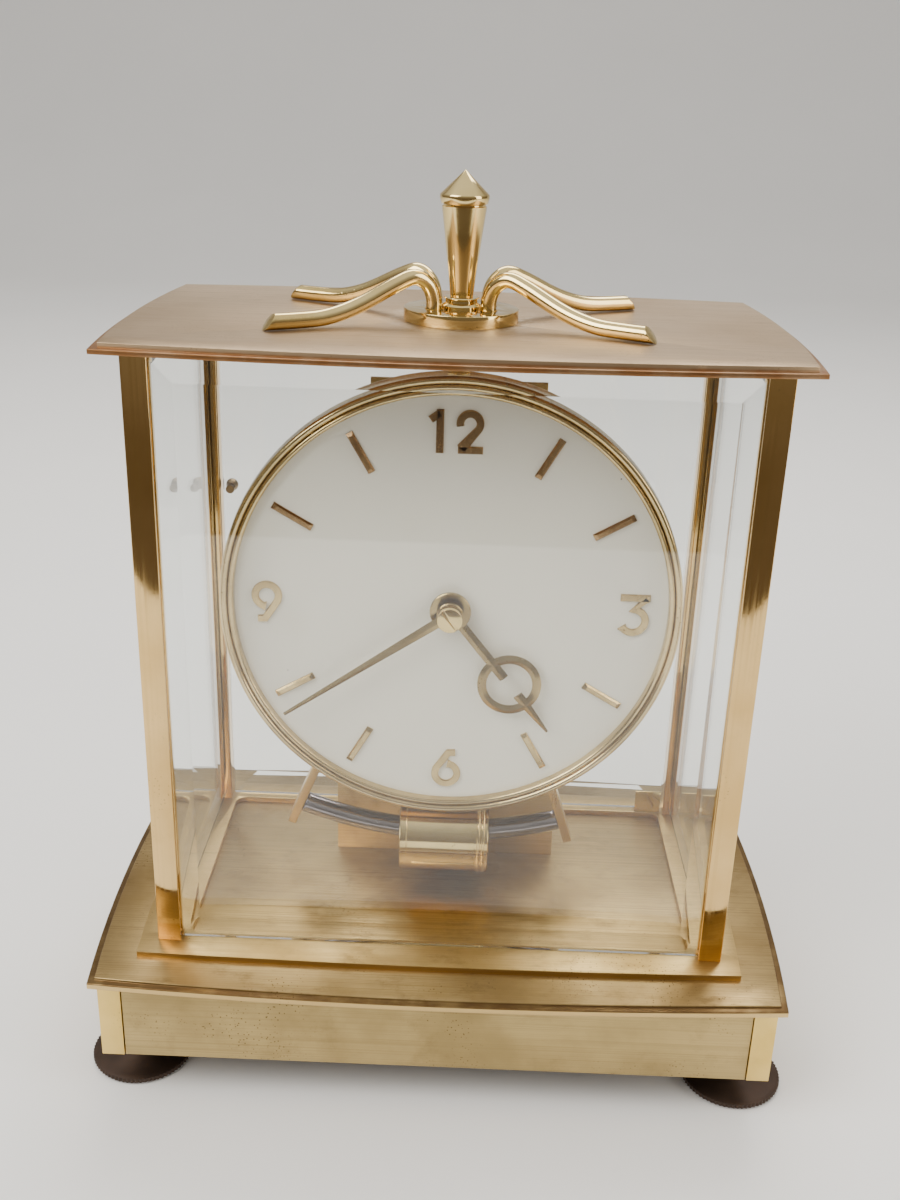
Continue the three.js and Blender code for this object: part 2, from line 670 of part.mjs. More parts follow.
// Each hinge shoe holds a corner of the pane from inside and turns on a pin in the frame or the lid.
function addRearDoor() {
  const edge = CASE_WIDTH / 2 - PILLAR - DOOR_GAP;
  const height = CASE_HEIGHT - 2 * (SHOE_WEB + 2 * GLASS_PLAY);
  const inner = GLASS_Y - GLASS;
  const knobX = KNOB_INSET - edge;
  const hole = facing(rod(KNOB_STEM + RUNNING_PLAY, -GLASS - 1, 1, 16));
  hole.translate(-knobX, 0, KNOB_HEIGHT - GLASS_MIDDLE);
  const door = addMesh("rear_door_glass", cut(pane(2 * edge, height), hole), CLEAR_GLASS);
  door.rotation.z = Math.PI;
  door.position.set(0, GLASS_Y, GLASS_MIDDLE);

  const x0 = edge - SHOE_LENGTH;
  const x1 = edge - SHOE_PLAY;
  const back = inner - SHOE_PLAY - SHOE_WEB;
  for (const [name, up] of [
    ["lower", 1],
    ["upper", -1],
  ]) {
    const heights = [0, SHOE_HEIGHT, SHOE_WEB, -PIVOT_LENGTH, SHOE_WEB / 2].map((z) => up * z);
    const [end, tall, web, pinEnd, pinRoot] = heights;
    const leg = block(x0, back, Math.min(end, tall), x1, inner - SHOE_PLAY, Math.max(end, tall));
    const foot = block(x0, back, Math.min(end, web), x1, doorMiddleY() + SHOE_REACH, Math.max(end, web));
    const pin = rod(PIVOT_RADIUS, Math.min(pinEnd, pinRoot), Math.max(pinEnd, pinRoot), 16);
    pin.translate(doorAxisX(), doorMiddleY(), 0);
    const shoe = addMesh(`door_hinge_${name}`, join(leg, foot, pin), POLISHED_BRASS);
    shoe.position.z = GLASS_MIDDLE - up * (CASE_HEIGHT / 2 - GLASS_PLAY);
  }

  const washer = GLASS + SHOE_PLAY;
  const profile = [
    [0, -KNOB_LENGTH],
    [KNOB_RADIUS - KNOB_ROUND, -KNOB_LENGTH],
    [KNOB_RADIUS, KNOB_RADIUS / 2 - KNOB_LENGTH],
    [KNOB_RADIUS - KNOB_NECK, -SHOE_PLAY],
    [KNOB_STEM, -SHOE_PLAY],
    [KNOB_STEM, washer],
    [KNOB_RADIUS - KNOB_ROUND, washer],
    [KNOB_RADIUS - KNOB_ROUND, washer + WASHER],
    [0, washer + WASHER],
  ];
  const knob = addMesh("door_knob", facing(turned(profile, 20)), POLISHED_BRASS);
  knob.position.set(knobX, GLASS_Y, KNOB_HEIGHT);
}

// Turns a shape built along Z, seen from above, to be seen from the front: Z becomes -Y.
function facing(geometry) {
  return geometry.rotateX(Math.PI / 2);
}

function addTopPlate() {
  const halfX = CASE_WIDTH / 2 + TOP_OVERHANG_SIDE;
  const halfY = CASE_DEPTH / 2 + TOP_OVERHANG_FRONT;
  const lipTop = PILLAR_TOP + TOP_LIP;
  const lip = bowedRectangle(halfX, halfY, TOP_BOW_FRONT, TOP_BOW_SIDE);
  const upper = bowedRectangle(halfX - TOP_INSET, halfY - TOP_INSET, TOP_BOW_FRONT, TOP_BOW_SIDE);
  const plate = join(extruded(lip, PILLAR_TOP, lipTop), extruded(upper, lipTop, LID_TOP));
  const bore = rod(STUD_RADIUS + STUD_PLAY, PILLAR_TOP - 1, LID_TOP + 1);
  const socket = PILLAR_TOP + PIVOT_LENGTH + PIVOT_END_PLAY;
  const pivot = rod(PIVOT_RADIUS + RUNNING_PLAY, PILLAR_TOP - 1, socket, 16);
  pivot.translate(doorAxisX(), doorMiddleY(), 0);
  addMesh("top_plate", cut(plate, bore, pivot), BRUSHED_BRASS);
}

// A handle rod in the XZ plane: out of the rosette, over a crest and down to lie along the lid.
function handleRod() {
  const rest = LID_TOP + ROD_RADIUS + ROD_LIFT;
  const foot = ROSETTE_TOP - ROD_SOCKET + ROD_LIFT;
  const crest = rest + ROD_RISE;
  const line = new THREE.CatmullRomCurve3(
    [
      [ROD_ROOT, foot],
      [ROD_ROOT, foot + 4.6],
      [ROD_ROOT + 1.7, crest - 2.1],
      [ROD_ROOT + 5.4, crest],
      [ROD_ROOT + 9.8, crest - 1.1],
      [ROD_ROOT + 22.6, rest + 2.9],
      [ROD_ROOT + 31.3, rest + 0.45],
      [ROD_ROOT + 39.6, rest],
      [ROD_REACH + 3, rest],
    ].map(([x, z]) => new THREE.Vector3(x, 0, z)),
    false,
    "centripetal",
  );
  const tube = new THREE.ExtrudeGeometry(disc(ROD_RADIUS), {
    steps: 22,
    curveSegments: 5,
    extrudePath: line,
  });
  const saw = block(0, -2 * ROD_RADIUS, -4 * ROD_RADIUS, 12, 2 * ROD_RADIUS, 4 * ROD_RADIUS);
  saw.rotateY(-ROD_CUT).translate(ROD_REACH - ROD_RADIUS * Math.tan(ROD_CUT), 0, rest);
  return cut(tube, saw);
}

function addHandle() {
  const bore = rod(STUD_RADIUS + STUD_PLAY, LID_TOP - 1, ROSETTE_TOP + 1);
  const angles = [Math.PI + ROD_ANGLE, -ROD_ANGLE, Math.PI - ROD_ANGLE, ROD_ANGLE];
  const sockets = angles.map((angle) =>
    rod(ROD_RADIUS + STUD_PLAY, ROSETTE_TOP - ROD_SOCKET, ROSETTE_TOP + 1, 20).translate(
      ROD_ROOT * Math.cos(angle),
      ROD_ROOT * Math.sin(angle),
      0,
    ),
  );
  const rosette = rod(ROSETTE_RADIUS, LID_TOP, ROSETTE_TOP, 32);
  addMesh("handle_rosette", cut(rosette, bore, ...sockets), POLISHED_BRASS);

  const names = ["front_left", "front_right", "rear_left", "rear_right"];
  names.forEach((name, index) => {
    addMesh(`handle_rod_${name}`, handleRod().rotateZ(angles[index]), POLISHED_BRASS);
  });

  const neck = ROSETTE_TOP + COLLAR_HEIGHT;
  const inside = STUD_RADIUS + STUD_PLAY;
  const collar = [
    [inside, ROSETTE_TOP],
    [COLLAR_RADIUS, ROSETTE_TOP],
    [COLLAR_RADIUS - COLLAR_WAIST, ROSETTE_TOP + COLLAR_HEIGHT / 2],
    [COLLAR_RADIUS - COLLAR_WAIST, neck - COLLAR_WAIST],
    [COLLAR_RADIUS - COLLAR_WAIST / 2, neck],
    [inside, neck],
    [inside, ROSETTE_TOP],
  ];
  addMesh("finial_collar", turned(collar, 20), POLISHED_BRASS);

  const widest = neck + FINIAL_TAPER;
  const stud = PILLAR_TOP - NUT_HEIGHT - STUD_END;
  const finial = [
    [0, stud],
    [STUD_RADIUS, stud],
    [STUD_RADIUS, neck],
    [FINIAL_NECK, neck],
    [FINIAL_RADIUS, widest],
    [0, widest + FINIAL_POINT],
  ];
  addMesh("finial", turned(finial, 32), POLISHED_BRASS);

  const nut = cut(
    rod(NUT_RADIUS, PILLAR_TOP - NUT_HEIGHT, PILLAR_TOP, 6),
    rod(inside, PILLAR_TOP - NUT_HEIGHT - 1, PILLAR_TOP + 1),
  );
  addMesh("finial_nut", nut, POLISHED_BRASS);
}

// The dial's own frame: x to the right, y up, z towards the reader, from the dial's centre.
function dialGroup() {
  const group = new THREE.Group();
  group.rotation.x = Math.PI / 2;
  group.position.z = DIAL_CENTRE;
  clock.add(group);
  return group;
}

function addDial(face) {
  const dialBack = DIAL_FRONT - DIAL_SHEET;
  const rim = BEZEL_RADIUS - BEZEL_LAP;
  const dialDisc = cut(
    rod(rim - RIM_PLAY, dialBack, DIAL_FRONT, 48),
    rod(HOUR_PIPE_RADIUS + 4 * RUNNING_PLAY, dialBack - 1, DIAL_FRONT + 1),
  );
  addMesh("dial_plate", dialDisc, IVORY, face);

  const bead = BEZEL_BEAD / 2;
  const middle = DIAL_RADIUS + bead;
  const top = DIAL_FRONT + BEZEL_RISE;
  const rear = dialBack - BEZEL_RETURN;
  const profile = [
    [rim, rear],
    [BEZEL_RADIUS - BEZEL_ROUND, rear],
    [BEZEL_RADIUS, rear + BEZEL_ROUND],
    [BEZEL_RADIUS, dialBack],
    [BEZEL_RADIUS - BEZEL_ROUND, DIAL_FRONT],
    [BEZEL_BEAD_RADIUS, top - bead / 2],
  ];
  for (let step = 0; step <= 4; step++) {
    const angle = (Math.PI * step) / 4;
    profile.push([middle + bead * Math.cos(angle), top + bead * Math.sin(angle)]);
  }
  const seat = DIAL_FRONT + BEZEL_SEAT;
  profile.push([DIAL_RADIUS, seat], [rim, seat], [rim, rear]);
  addMesh("bezel", turned(profile, 48), POLISHED_BRASS, face);

  const panBack = dialBack - PAN_DEPTH;
  const panRadius = rim - RIM_PLAY;
  const pan = [
    [PAN_MOUTH, panBack],
    [panRadius, panBack],
    [panRadius, dialBack],
    [panRadius - PAN_WALL, dialBack],
    [panRadius - PAN_WALL, panBack + PAN_WALL],
    [PAN_MOUTH, panBack + PAN_WALL],
    [PAN_MOUTH, panBack],
  ];
  addMesh("dial_pan", turned(pan, 36), POLISHED_BRASS, face);
}

function addMovement(face) {
  const reach = PAN_MOUTH - POST_INSET;
  const diagonal = reach * Math.SQRT1_2;
  const posts = [
    [-1, -1],
    [1, -1],
    [1, 1],
    [-1, 1],
  ].map(([sx, sy]) =>
    rod(POST_RADIUS, BACK_PLATE_FRONT, PLATE_FRONT - PLATE / 2, 16).translate(
      sx * diagonal,
      sy * diagonal,
      0,
    ),
  );
  const shaftHole = rod(ARBOR_RADIUS + RUNNING_PLAY, BACK_PLATE_REAR - 1, PLATE_FRONT + 1);
  const studHole = rod(STUB_RADIUS + RUNNING_PLAY, PLATE_FRONT - PLATE - 1, PLATE_FRONT + 1, 16);
  studHole.translate(gearDistance(), 0, 0);
  const frontPlate = rod(FRONT_PLATE_RADIUS, PLATE_FRONT - PLATE, PLATE_FRONT, 36);
  addMesh(
    "movement_front_plate",
    cut(join(frontPlate, ...posts), shaftHole, studHole),
    POLISHED_BRASS,
    face,
  );

  const spacers = [
    [-SPACER_X, SPACER_Y],
    [SPACER_X, SPACER_Y],
    [0, -SPACER_DROP],
  ].map(([x, y]) => rod(SPACER_RADIUS, -BOX_FRONT, BACK_PLATE_REAR + PLATE / 2, 16).translate(x, y, 0));
  const countHole = rod(STUB_RADIUS + RUNNING_PLAY, BACK_PLATE_REAR - 1, BACK_PLATE_FRONT + 1, 16);
  countHole.translate(0, countHeight(), 0);
  const backPlate = rod(BACK_PLATE_RADIUS, BACK_PLATE_REAR, BACK_PLATE_FRONT, 36);
  addMesh(
    "movement_back_plate",
    cut(join(backPlate, ...spacers), shaftHole, countHole),
    POLISHED_BRASS,
    face,
  );

  const wheelBack = BACK_PLATE_REAR - COUNT_GAP - COUNT_SHEET;
  const depth = COUNT_RADIUS - COUNT_TOOTH;
  const teeth = [];
  for (let tooth = 0; tooth < COUNT_TEETH; tooth++) {
    const angle = (2 * Math.PI * tooth) / COUNT_TEETH;
    const next = angle + (2 * Math.PI * COUNT_SLOPE) / COUNT_TEETH;
    teeth.push([COUNT_RADIUS * Math.cos(angle), COUNT_RADIUS * Math.sin(angle)]);
    teeth.push([depth * Math.cos(next), depth * Math.sin(next)]);
  }
  const wheel = extruded(polygon(teeth), wheelBack, wheelBack + COUNT_SHEET);
  const arbor = rod(STUB_RADIUS, wheelBack, BACK_PLATE_FRONT + 2, 16);
  const countWheel = addMesh("count_wheel", join(wheel, arbor), GILT, face);
  countWheel.position.y = countHeight();
}

function gearDistance() {
  return ((CANNON_TEETH + MINUTE_WHEEL_TEETH) * CANNON_MODULE) / 2;
}

// The count wheel's centre above the dial's, just under the pawl on the pendulum.
function countHeight() {
  return PIVOT_HEIGHT - DIAL_CENTRE - PAWL_DROP - COUNT_RADIUS;
}

function addMotionWork(face) {
  const low = PLATE_FRONT + WHEEL_GAP;
  const cannonTop = low + GEAR_THICKNESS + COLLAR_RISE;
  const hourBack = cannonTop + WHEEL_GAP;
  const hourModule = (2 * gearDistance()) / (MINUTE_PINION_TEETH + HOUR_WHEEL_TEETH);

  const cannon = extruded(gearShape(CANNON_TEETH, CANNON_MODULE), low, cannonTop);
  const arborFront = handNutBack() + HAND_NUT_LENGTH - HAND_NUT_CROWN - WHEEL_GAP;
  const arbor = rod(ARBOR_RADIUS, KNOB_BACK + SETTING_KNOB_SHELL + COLLAR_RISE, arborFront);
  addMesh("minute_arbor", join(arbor, cannon), GILT, face);

  const wheelShape = gearShape(MINUTE_WHEEL_TEETH, CANNON_MODULE, 0.5);
  const pinion = extruded(
    gearShape(MINUTE_PINION_TEETH, hourModule),
    low + GEAR_THICKNESS / 2,
    hourBack + GEAR_THICKNESS + WHEEL_GAP,
  );
  const stub = rod(STUB_RADIUS, PLATE_FRONT - PLATE, low + GEAR_THICKNESS / 2, 16);
  const wheel = extruded(wheelShape, low, low + GEAR_THICKNESS);
  const minuteWheel = addMesh("minute_wheel", join(wheel, pinion, stub), GILT, face);
  minuteWheel.position.x = gearDistance();

  const hourGear = extruded(
    gearShape(HOUR_WHEEL_TEETH, hourModule, 0.5),
    hourBack,
    hourBack + GEAR_THICKNESS,
  );
  const pipe = rod(HOUR_PIPE_RADIUS, hourBack, HOUR_HAND_FRONT);
  const bore = rod(ARBOR_RADIUS + RUNNING_PLAY, hourBack - 1, HOUR_HAND_FRONT + 1);
  addMesh("hour_wheel", cut(join(hourGear, pipe), bore), GILT, face);
}

function handNutBack() {
  return MINUTE_HAND_FRONT + SHOE_PLAY;
}

function addHands(face) {
  const minuteBack = MINUTE_HAND_FRONT - HAND_SHEET;
  const half = MINUTE_HAND_WIDTH / 2;
  const blade = polygon([
    [-half, 0],
    [half, 0],
    [half, HAND_NUT_RADIUS],
    [HAND_TIP, MINUTE_HAND_LENGTH - HAND_TIP],
    [0, MINUTE_HAND_LENGTH],
    [-HAND_TIP, MINUTE_HAND_LENGTH - HAND_TIP],
    [-half, HAND_NUT_RADIUS],
  ]);
  const minuteBore = rod(ARBOR_RADIUS + SHOE_PLAY, minuteBack - 1, MINUTE_HAND_FRONT + 1);
  const boss = rod(HAND_NUT_RADIUS + HAND_BOSS_MARGIN, minuteBack, MINUTE_HAND_FRONT);
  const minute = cut(join(extruded(blade, minuteBack, MINUTE_HAND_FRONT), boss), minuteBore);
  addMesh("minute_hand", minute, GILT, face).rotation.z = -MINUTE_ANGLE;

  const hourBack = HOUR_HAND_FRONT - HAND_SHEET;
  const wide = HOUR_HAND_WIDTH / 2;
  const ring = disc(HOUR_RING_RADIUS);
  ring.holes.push(circle(HOUR_RING_RADIUS - HOUR_RING_BAND));
  const band = extruded(ring, hourBack, HOUR_HAND_FRONT, 14).translate(0, HOUR_RING_CENTRE, 0);
  const bar = block(-wide, 0, hourBack, wide, HOUR_BAR_END, HOUR_HAND_FRONT);
  const tip = polygon([
    [-wide, HOUR_TIP_START],
    [wide, HOUR_TIP_START],
    [wide, HOUR_TIP_START + HOUR_TIP_SHOULDER],
    [HAND_TIP, HOUR_HAND_LENGTH],
    [-HAND_TIP, HOUR_HAND_LENGTH],
    [-wide, HOUR_TIP_START + HOUR_TIP_SHOULDER],
  ]);
  const hub = rod(HOUR_BOSS_RADIUS, hourBack, HOUR_HAND_FRONT, 32);
  const hourBore = rod(HOUR_PIPE_RADIUS + SHOE_PLAY, hourBack - 1, HOUR_HAND_FRONT + 1);
  const hour = cut(join(hub, bar, band, extruded(tip, hourBack, HOUR_HAND_FRONT)), hourBore);
  addMesh("hour_hand", hour, GILT, face).rotation.z = -HOUR_ANGLE;

  const back = handNutBack();
  const front = back + HAND_NUT_LENGTH;
  const slot = HAND_NUT_SLOT / 2;
  const nut = cut(
    rod(HAND_NUT_RADIUS, back, front, 32),
    rod(ARBOR_RADIUS + SHOE_PLAY, back - 1, front - HAND_NUT_CROWN),
    block(-HAND_NUT_RADIUS - 1, -slot, front - HAND_NUT_SLOT, HAND_NUT_RADIUS + 1, slot, front + 1),
  );
  addMesh("hand_nut", nut, GILT, face).rotation.z = -HAND_NUT_TURN;

  const knob = cut(
    rod(SETTING_KNOB_RADIUS, KNOB_BACK, KNOB_BACK + SETTING_KNOB_THICKNESS, 32),
    rod(ARBOR_RADIUS + SHOE_PLAY, KNOB_BACK + SETTING_KNOB_SHELL, 0),
  );
  addMesh("setting_knob", knob, GILT, face);
}

function addPendulum() {
  const frame = new THREE.Group();
  frame.rotation.x = Math.PI / 2;
  frame.position.z = PIVOT_HEIGHT;
  clock.add(frame);
  const swing = new THREE.Group();
  swing.rotation.z = -PENDULUM_TILT;
  frame.add(swing);

  const hubBack = PENDULUM_FRONT - HUB_LENGTH / 2;
  const hubFront = PENDULUM_FRONT + HUB_LENGTH / 2;
  const hub = cut(
    rod(HUB_RADIUS, hubBack, hubFront),
    block(-HUB_SLOT / 2, -HUB_SLOT_FLOOR, hubBack - 1, HUB_SLOT / 2, HUB_RADIUS + 1, hubFront + 1),
  );
  addMesh("pendulum_hub", hub, POLISHED_BRASS, swing);

  const beside = (ARM_THICKNESS / 2 + MAGNET_RADIUS * MAGNET_END_GAP) / MAGNET_SWEEP_RADIUS;
  for (const [name, side] of [
    ["left", -1],
    ["right", 1],
  ]) {
    const arm = block(
      -ARM_THICKNESS / 2,
      -MAGNET_SWEEP_RADIUS - ARM_TAIL,
      PENDULUM_FRONT - ARM_WIDTH / 2,
      ARM_THICKNESS / 2,
      -HUB_RADIUS - SHOE_PLAY,
      PENDULUM_FRONT + ARM_WIDTH / 2,
    );
    const mesh = addMesh(`pendulum_arm_${name}`, arm, POLISHED_BRASS, swing);
    mesh.rotation.z = side * (MAGNET_HALF_ANGLE + beside);
  }

  const arc = [];
  const steps = 16;
  for (let step = 0; step <= steps; step++) {
    const angle = MAGNET_HALF_ANGLE * ((2 * step) / steps - 1);
    arc.push(
      new THREE.Vector3(
        MAGNET_SWEEP_RADIUS * Math.sin(angle),
        -MAGNET_SWEEP_RADIUS * Math.cos(angle),
        PENDULUM_FRONT,
      ),
    );
  }
  const magnet = new THREE.ExtrudeGeometry(disc(MAGNET_RADIUS), {
    steps,
    curveSegments: 8,
    extrudePath: new THREE.CatmullRomCurve3(arc),
  });
  addMesh("magnet_bar", magnet, DARK_STEEL, swing);

  const pawl = block(
    -PAWL_WIDTH / 2,
    PAWL_GAP - PAWL_DROP,
    hubFront - PAWL_SHEET,
    PAWL_WIDTH / 2,
    -HUB_RADIUS - SHOE_PLAY,
    hubFront,
  );
  addMesh("drive_pawl", pawl, DARK_STEEL, swing);
}

// The spring hangs in the cock and holds the pendulum; it bends where the hub's slot ends.
function addSuspension() {
  const blade = block(
    -SPRING_SHEET / 2,
    -PENDULUM_FRONT - SPRING_WIDTH / 2,
    PIVOT_HEIGHT - SHOE_PLAY,
    SPRING_SHEET / 2,
    -PENDULUM_FRONT + SPRING_WIDTH / 2,
    COCK_UNDER,
  );
  addMesh("suspension_spring", blade, DARK_STEEL);
  const arm = block(
    -COCK_WIDTH / 2,
    -PENDULUM_FRONT - COCK_NOSE,
    COCK_UNDER,
    COCK_WIDTH / 2,
    BOX_FRONT,
    COCK_UNDER + COCK_SHEET,
  );
  const foot = block(
    -COCK_FOOT_WIDTH / 2,
    BOX_FRONT - COCK_FOOT_SHEET,
    COCK_UNDER - COCK_FOOT_DROP,
    COCK_FOOT_WIDTH / 2,
    BOX_FRONT,
    BRACKET_TOP,
  );
  addMesh("suspension_cock", join(arm, foot), POLISHED_BRASS);
}

function addCoil() {
  const place = new THREE.Group();
  place.rotation.y = Math.PI / 2;
  place.position.set(0, -PENDULUM_FRONT, MAGNET_HEIGHT + COIL_LIFT);
  clock.add(place);

  const end = COIL_LENGTH / 2;
  const cover = [
    [COIL_EYE, -end],
    [COIL_RADIUS, -end],
    [COIL_RADIUS, end],
    [COIL_EYE, end],
    [COIL_EYE, end - COIL_WALL],
    [COIL_RADIUS - COIL_WALL, end - COIL_WALL],
    [COIL_RADIUS - COIL_WALL, COIL_WALL - end],
    [COIL_EYE, COIL_WALL - end],
    [COIL_EYE, -end],
  ];
  addMesh("coil_cover", turned(cover, 32), POLISHED_BRASS, place);

  const spool = end - COIL_WALL - SHOE_PLAY;
  const flange = COIL_RADIUS - COIL_WALL - FLANGE_PLAY;
  const core = COIL_BORE + BOBBIN_WALL;
  const bobbin = [
    [COIL_BORE, -spool],
    [flange, -spool],
    [flange, BOBBIN_WALL - spool],
    [core, BOBBIN_WALL - spool],
    [core, spool - BOBBIN_WALL],
    [flange, spool - BOBBIN_WALL],
    [flange, spool],
    [COIL_BORE, spool],
    [COIL_BORE, -spool],
  ];
  addMesh("coil_bobbin", turned(bobbin, 24), BLACK_PLASTIC, place);
  const wound = spool - BOBBIN_WALL - SHOE_PLAY;
  const winding = [
    [core + SHOE_PLAY, -wound],
    [flange - WINDING_MARGIN, -wound],
    [flange - WINDING_MARGIN, wound],
    [core + SHOE_PLAY, wound],
    [core + SHOE_PLAY, -wound],
  ];
  addMesh("coil_winding", turned(winding, 24), COPPER_WIRE, place);
}

// The saddle is soldered to the box's front and carries the coil.
function coilSaddle() {
  const height = MAGNET_HEIGHT + COIL_LIFT;
  const front = COIL_RADIUS - PENDULUM_FRONT - SADDLE_DEPTH;
  const half = SADDLE_HEIGHT / 2;
  return cut(
    block(-SADDLE / 2, front, height - half, SADDLE / 2, BOX_FRONT + BOX_SHEET / 2, height + half),
    rod(COIL_RADIUS + SHOE_PLAY, -SADDLE, SADDLE, 32)
      .rotateY(Math.PI / 2)
      .translate(0, -PENDULUM_FRONT, height),
  );
}

function addBattery() {
  const half = BOX_WIDTH / 2;
  const top = COVER_TOP + BOX_HEIGHT;
  const box = cut(
    block(-half, BOX_FRONT, COVER_TOP, half, BOX_BACK, top),
    block(
      BOX_SHEET - half,
      BOX_FRONT + BOX_SHEET,
      COVER_TOP + BOX_SHEET,
      half - BOX_SHEET,
      BOX_BACK + 1,
      top - BOX_SHEET,
    ),
  );
  addMesh("battery_box", join(box, coilSaddle()), BRUSHED_BRASS);

  const middleY = BOX_FRONT + BOX_SHEET + BATTERY_RADIUS + BATTERY_LIFT;
  const middleZ = COVER_TOP + BOX_SHEET + BATTERY_RADIUS + BATTERY_LIFT;
  const end = BATTERY_LENGTH / 2;
  const cell = [
    [0, -end],
    [BATTERY_RADIUS, -end],
    [BATTERY_RADIUS, end - BATTERY_CAP],
    [BATTERY_CAP_RADIUS, end - BATTERY_CAP],
    [BATTERY_CAP_RADIUS, end],
    [0, end],
  ];
  const battery = addMesh("battery", turned(cell, 32).rotateY(Math.PI / 2), ZINC_CAN);
  battery.position.set(0, middleY, middleZ);
  for (const [name, side] of [
    ["left", -1],
    ["right", 1],
  ]) {
    const face = side * (end + SHOE_PLAY);
    const back = side * (end + SHOE_PLAY + CONTACT_SHEET);
    const strip = block(
      Math.min(face, back),
      middleY - CONTACT_WIDTH / 2,
      COVER_TOP + BOX_SHEET,
      Math.max(face, back),
      middleY + CONTACT_WIDTH / 2,
      middleZ + CONTACT_RISE,
    );
    addMesh(`battery_contact_${name}`, strip, POLISHED_BRASS);
  }

  const flat = polygon([
    [BOX_FRONT, top],
    [BOX_BACK - BRACKET_FOOT_END, top],
    [BOX_BACK - BRACKET_FOOT_END, top + BRACKET_SHEET],
    [BOX_FRONT + BRACKET_SHEET, top + BRACKET_SHEET],
    [BOX_FRONT + BRACKET_SHEET, BRACKET_TOP],
    [BOX_FRONT, BRACKET_TOP],
  ]);
  const wide = BRACKET_WIDTH / 2;
  const bracket = extruded(flat, -wide, wide).applyMatrix4(
    new THREE.Matrix4().set(0, 0, 1, 0, 1, 0, 0, 0, 0, 1, 0, 0, 0, 0, 0, 1),
  );
  const shaft = facing(rod(ARBOR_RADIUS + BRACKET_HOLE_PLAY, -BOX_BACK, 0));
  shaft.translate(0, 0, DIAL_CENTRE);
  addMesh("support_bracket", cut(bracket, shaft), BRUSHED_BRASS);
}

// A phenolic board on two lugs, with a transistor and two resistors.
function addBoard() {
  const bracketBack = BOX_FRONT + BRACKET_SHEET;
  const near = bracketBack + BOARD_STANDOFF;
  const far = near + BOARD_SHEET;
  const top = DIAL_CENTRE - SETTING_KNOB_RADIUS - BOARD_DROP;
  const board = block(-BOARD_WIDTH / 2, near, top - BOARD_HEIGHT, BOARD_WIDTH / 2, far, top);
  const lug = LUG_SIZE / 2;
  const middle = top - LUG_DROP;
  const lugs = [-LUG_X, LUG_X].map((x) =>
    block(x - lug, bracketBack, middle - lug, x + lug, near + SOLDERED, middle + lug),
  );
  const transistor = facing(rod(TRANSISTOR_RADIUS, -far - TRANSISTOR_HEIGHT, SOLDERED - far, 20));
  transistor.translate(TRANSISTOR_X, 0, top - TRANSISTOR_DROP);
  const thin = RESISTOR_THICKNESS / 2;
  const resistors = RESISTOR_DROPS.map((drop) =>
    block(
      RESISTOR_X,
      far - SOLDERED,
      top - drop - thin,
      RESISTOR_X + RESISTOR_LENGTH,
      far + RESISTOR_THICKNESS,
      top - drop + thin,
    ),
  );
  addMesh("circuit_board", join(board, ...lugs, transistor, ...resistors), BOARD_BROWN);
}

addPlinth();
addFeet();
addFloorFrame();
addPillars();
addGlass();
addRearDoor();
addTopPlate();
addHandle();
const face = dialGroup();
addDial(face);
addMovement(face);
addMotionWork(face);
addHands(face);
addPendulum();
addSuspension();
addCoil();
addBattery();
addBoard();

export default clock;
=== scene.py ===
import json
from math import cos, pi, radians, sin, tan

import bmesh
import bpy
from mathutils import Matrix, Vector
from mathutils.geometry import interpolate_bezier


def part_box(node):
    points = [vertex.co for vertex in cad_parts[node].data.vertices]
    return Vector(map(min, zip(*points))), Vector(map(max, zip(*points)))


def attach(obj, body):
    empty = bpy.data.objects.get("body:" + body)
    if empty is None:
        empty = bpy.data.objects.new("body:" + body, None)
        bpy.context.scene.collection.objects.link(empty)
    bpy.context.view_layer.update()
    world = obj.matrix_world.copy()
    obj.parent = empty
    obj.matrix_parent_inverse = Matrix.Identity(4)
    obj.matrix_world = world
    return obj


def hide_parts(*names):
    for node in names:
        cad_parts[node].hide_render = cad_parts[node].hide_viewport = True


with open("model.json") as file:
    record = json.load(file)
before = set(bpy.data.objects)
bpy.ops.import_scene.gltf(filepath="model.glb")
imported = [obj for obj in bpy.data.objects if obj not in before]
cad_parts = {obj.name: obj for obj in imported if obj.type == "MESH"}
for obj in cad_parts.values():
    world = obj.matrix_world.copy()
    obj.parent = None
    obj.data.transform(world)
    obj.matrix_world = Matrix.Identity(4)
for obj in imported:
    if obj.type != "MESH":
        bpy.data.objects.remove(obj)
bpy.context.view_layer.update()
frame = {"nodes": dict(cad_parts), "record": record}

MM = 0.001  # metres in a millimetre
AIM_HEIGHT = 0.12  # the lamps point at the dial

# ---- Camera, floor and light ------------------------------------------------------------
# The camera looks down on the clock from the front. It stands on a pale table under large soft
# lamps and a shaded sky. The table ends not far in front, so the upper pillars mirror the dark
# room beyond its edge, and behind the clock it curves up into a plain wall.

def make_camera():
    data = bpy.data.cameras.new("camera")
    data.lens = 37.97
    data.sensor_width = 36
    data.clip_start = 0.01
    camera = bpy.data.objects.new("camera", data)
    right = Vector((0.99923, 0.02624, 0.02913))
    up = Vector((-0.03683, 0.37377, 0.92679))
    forward = Vector((-0.01343, 0.92715, -0.37444))
    turn = Matrix((right, up, -forward)).transposed().to_4x4()
    camera.matrix_world = Matrix.Translation(Vector((4.55, -353.85, 281.78)) * MM) @ turn
    bpy.context.scene.collection.objects.link(camera)
    bpy.context.scene.camera = camera


def make_lamp(name, place, size, power, colour):
    data = bpy.data.lights.new(name, "AREA")
    data.shape = "RECTANGLE"
    data.size, data.size_y = size
    data.energy = power
    data.color = colour
    lamp = bpy.data.objects.new(name, data)
    towards = Vector((0, 0, AIM_HEIGHT)) - Vector(place)
    lamp.matrix_world = Matrix.Translation(place) @ towards.to_track_quat("-Z", "Y").to_matrix().to_4x4()
    bpy.context.scene.collection.objects.link(lamp)


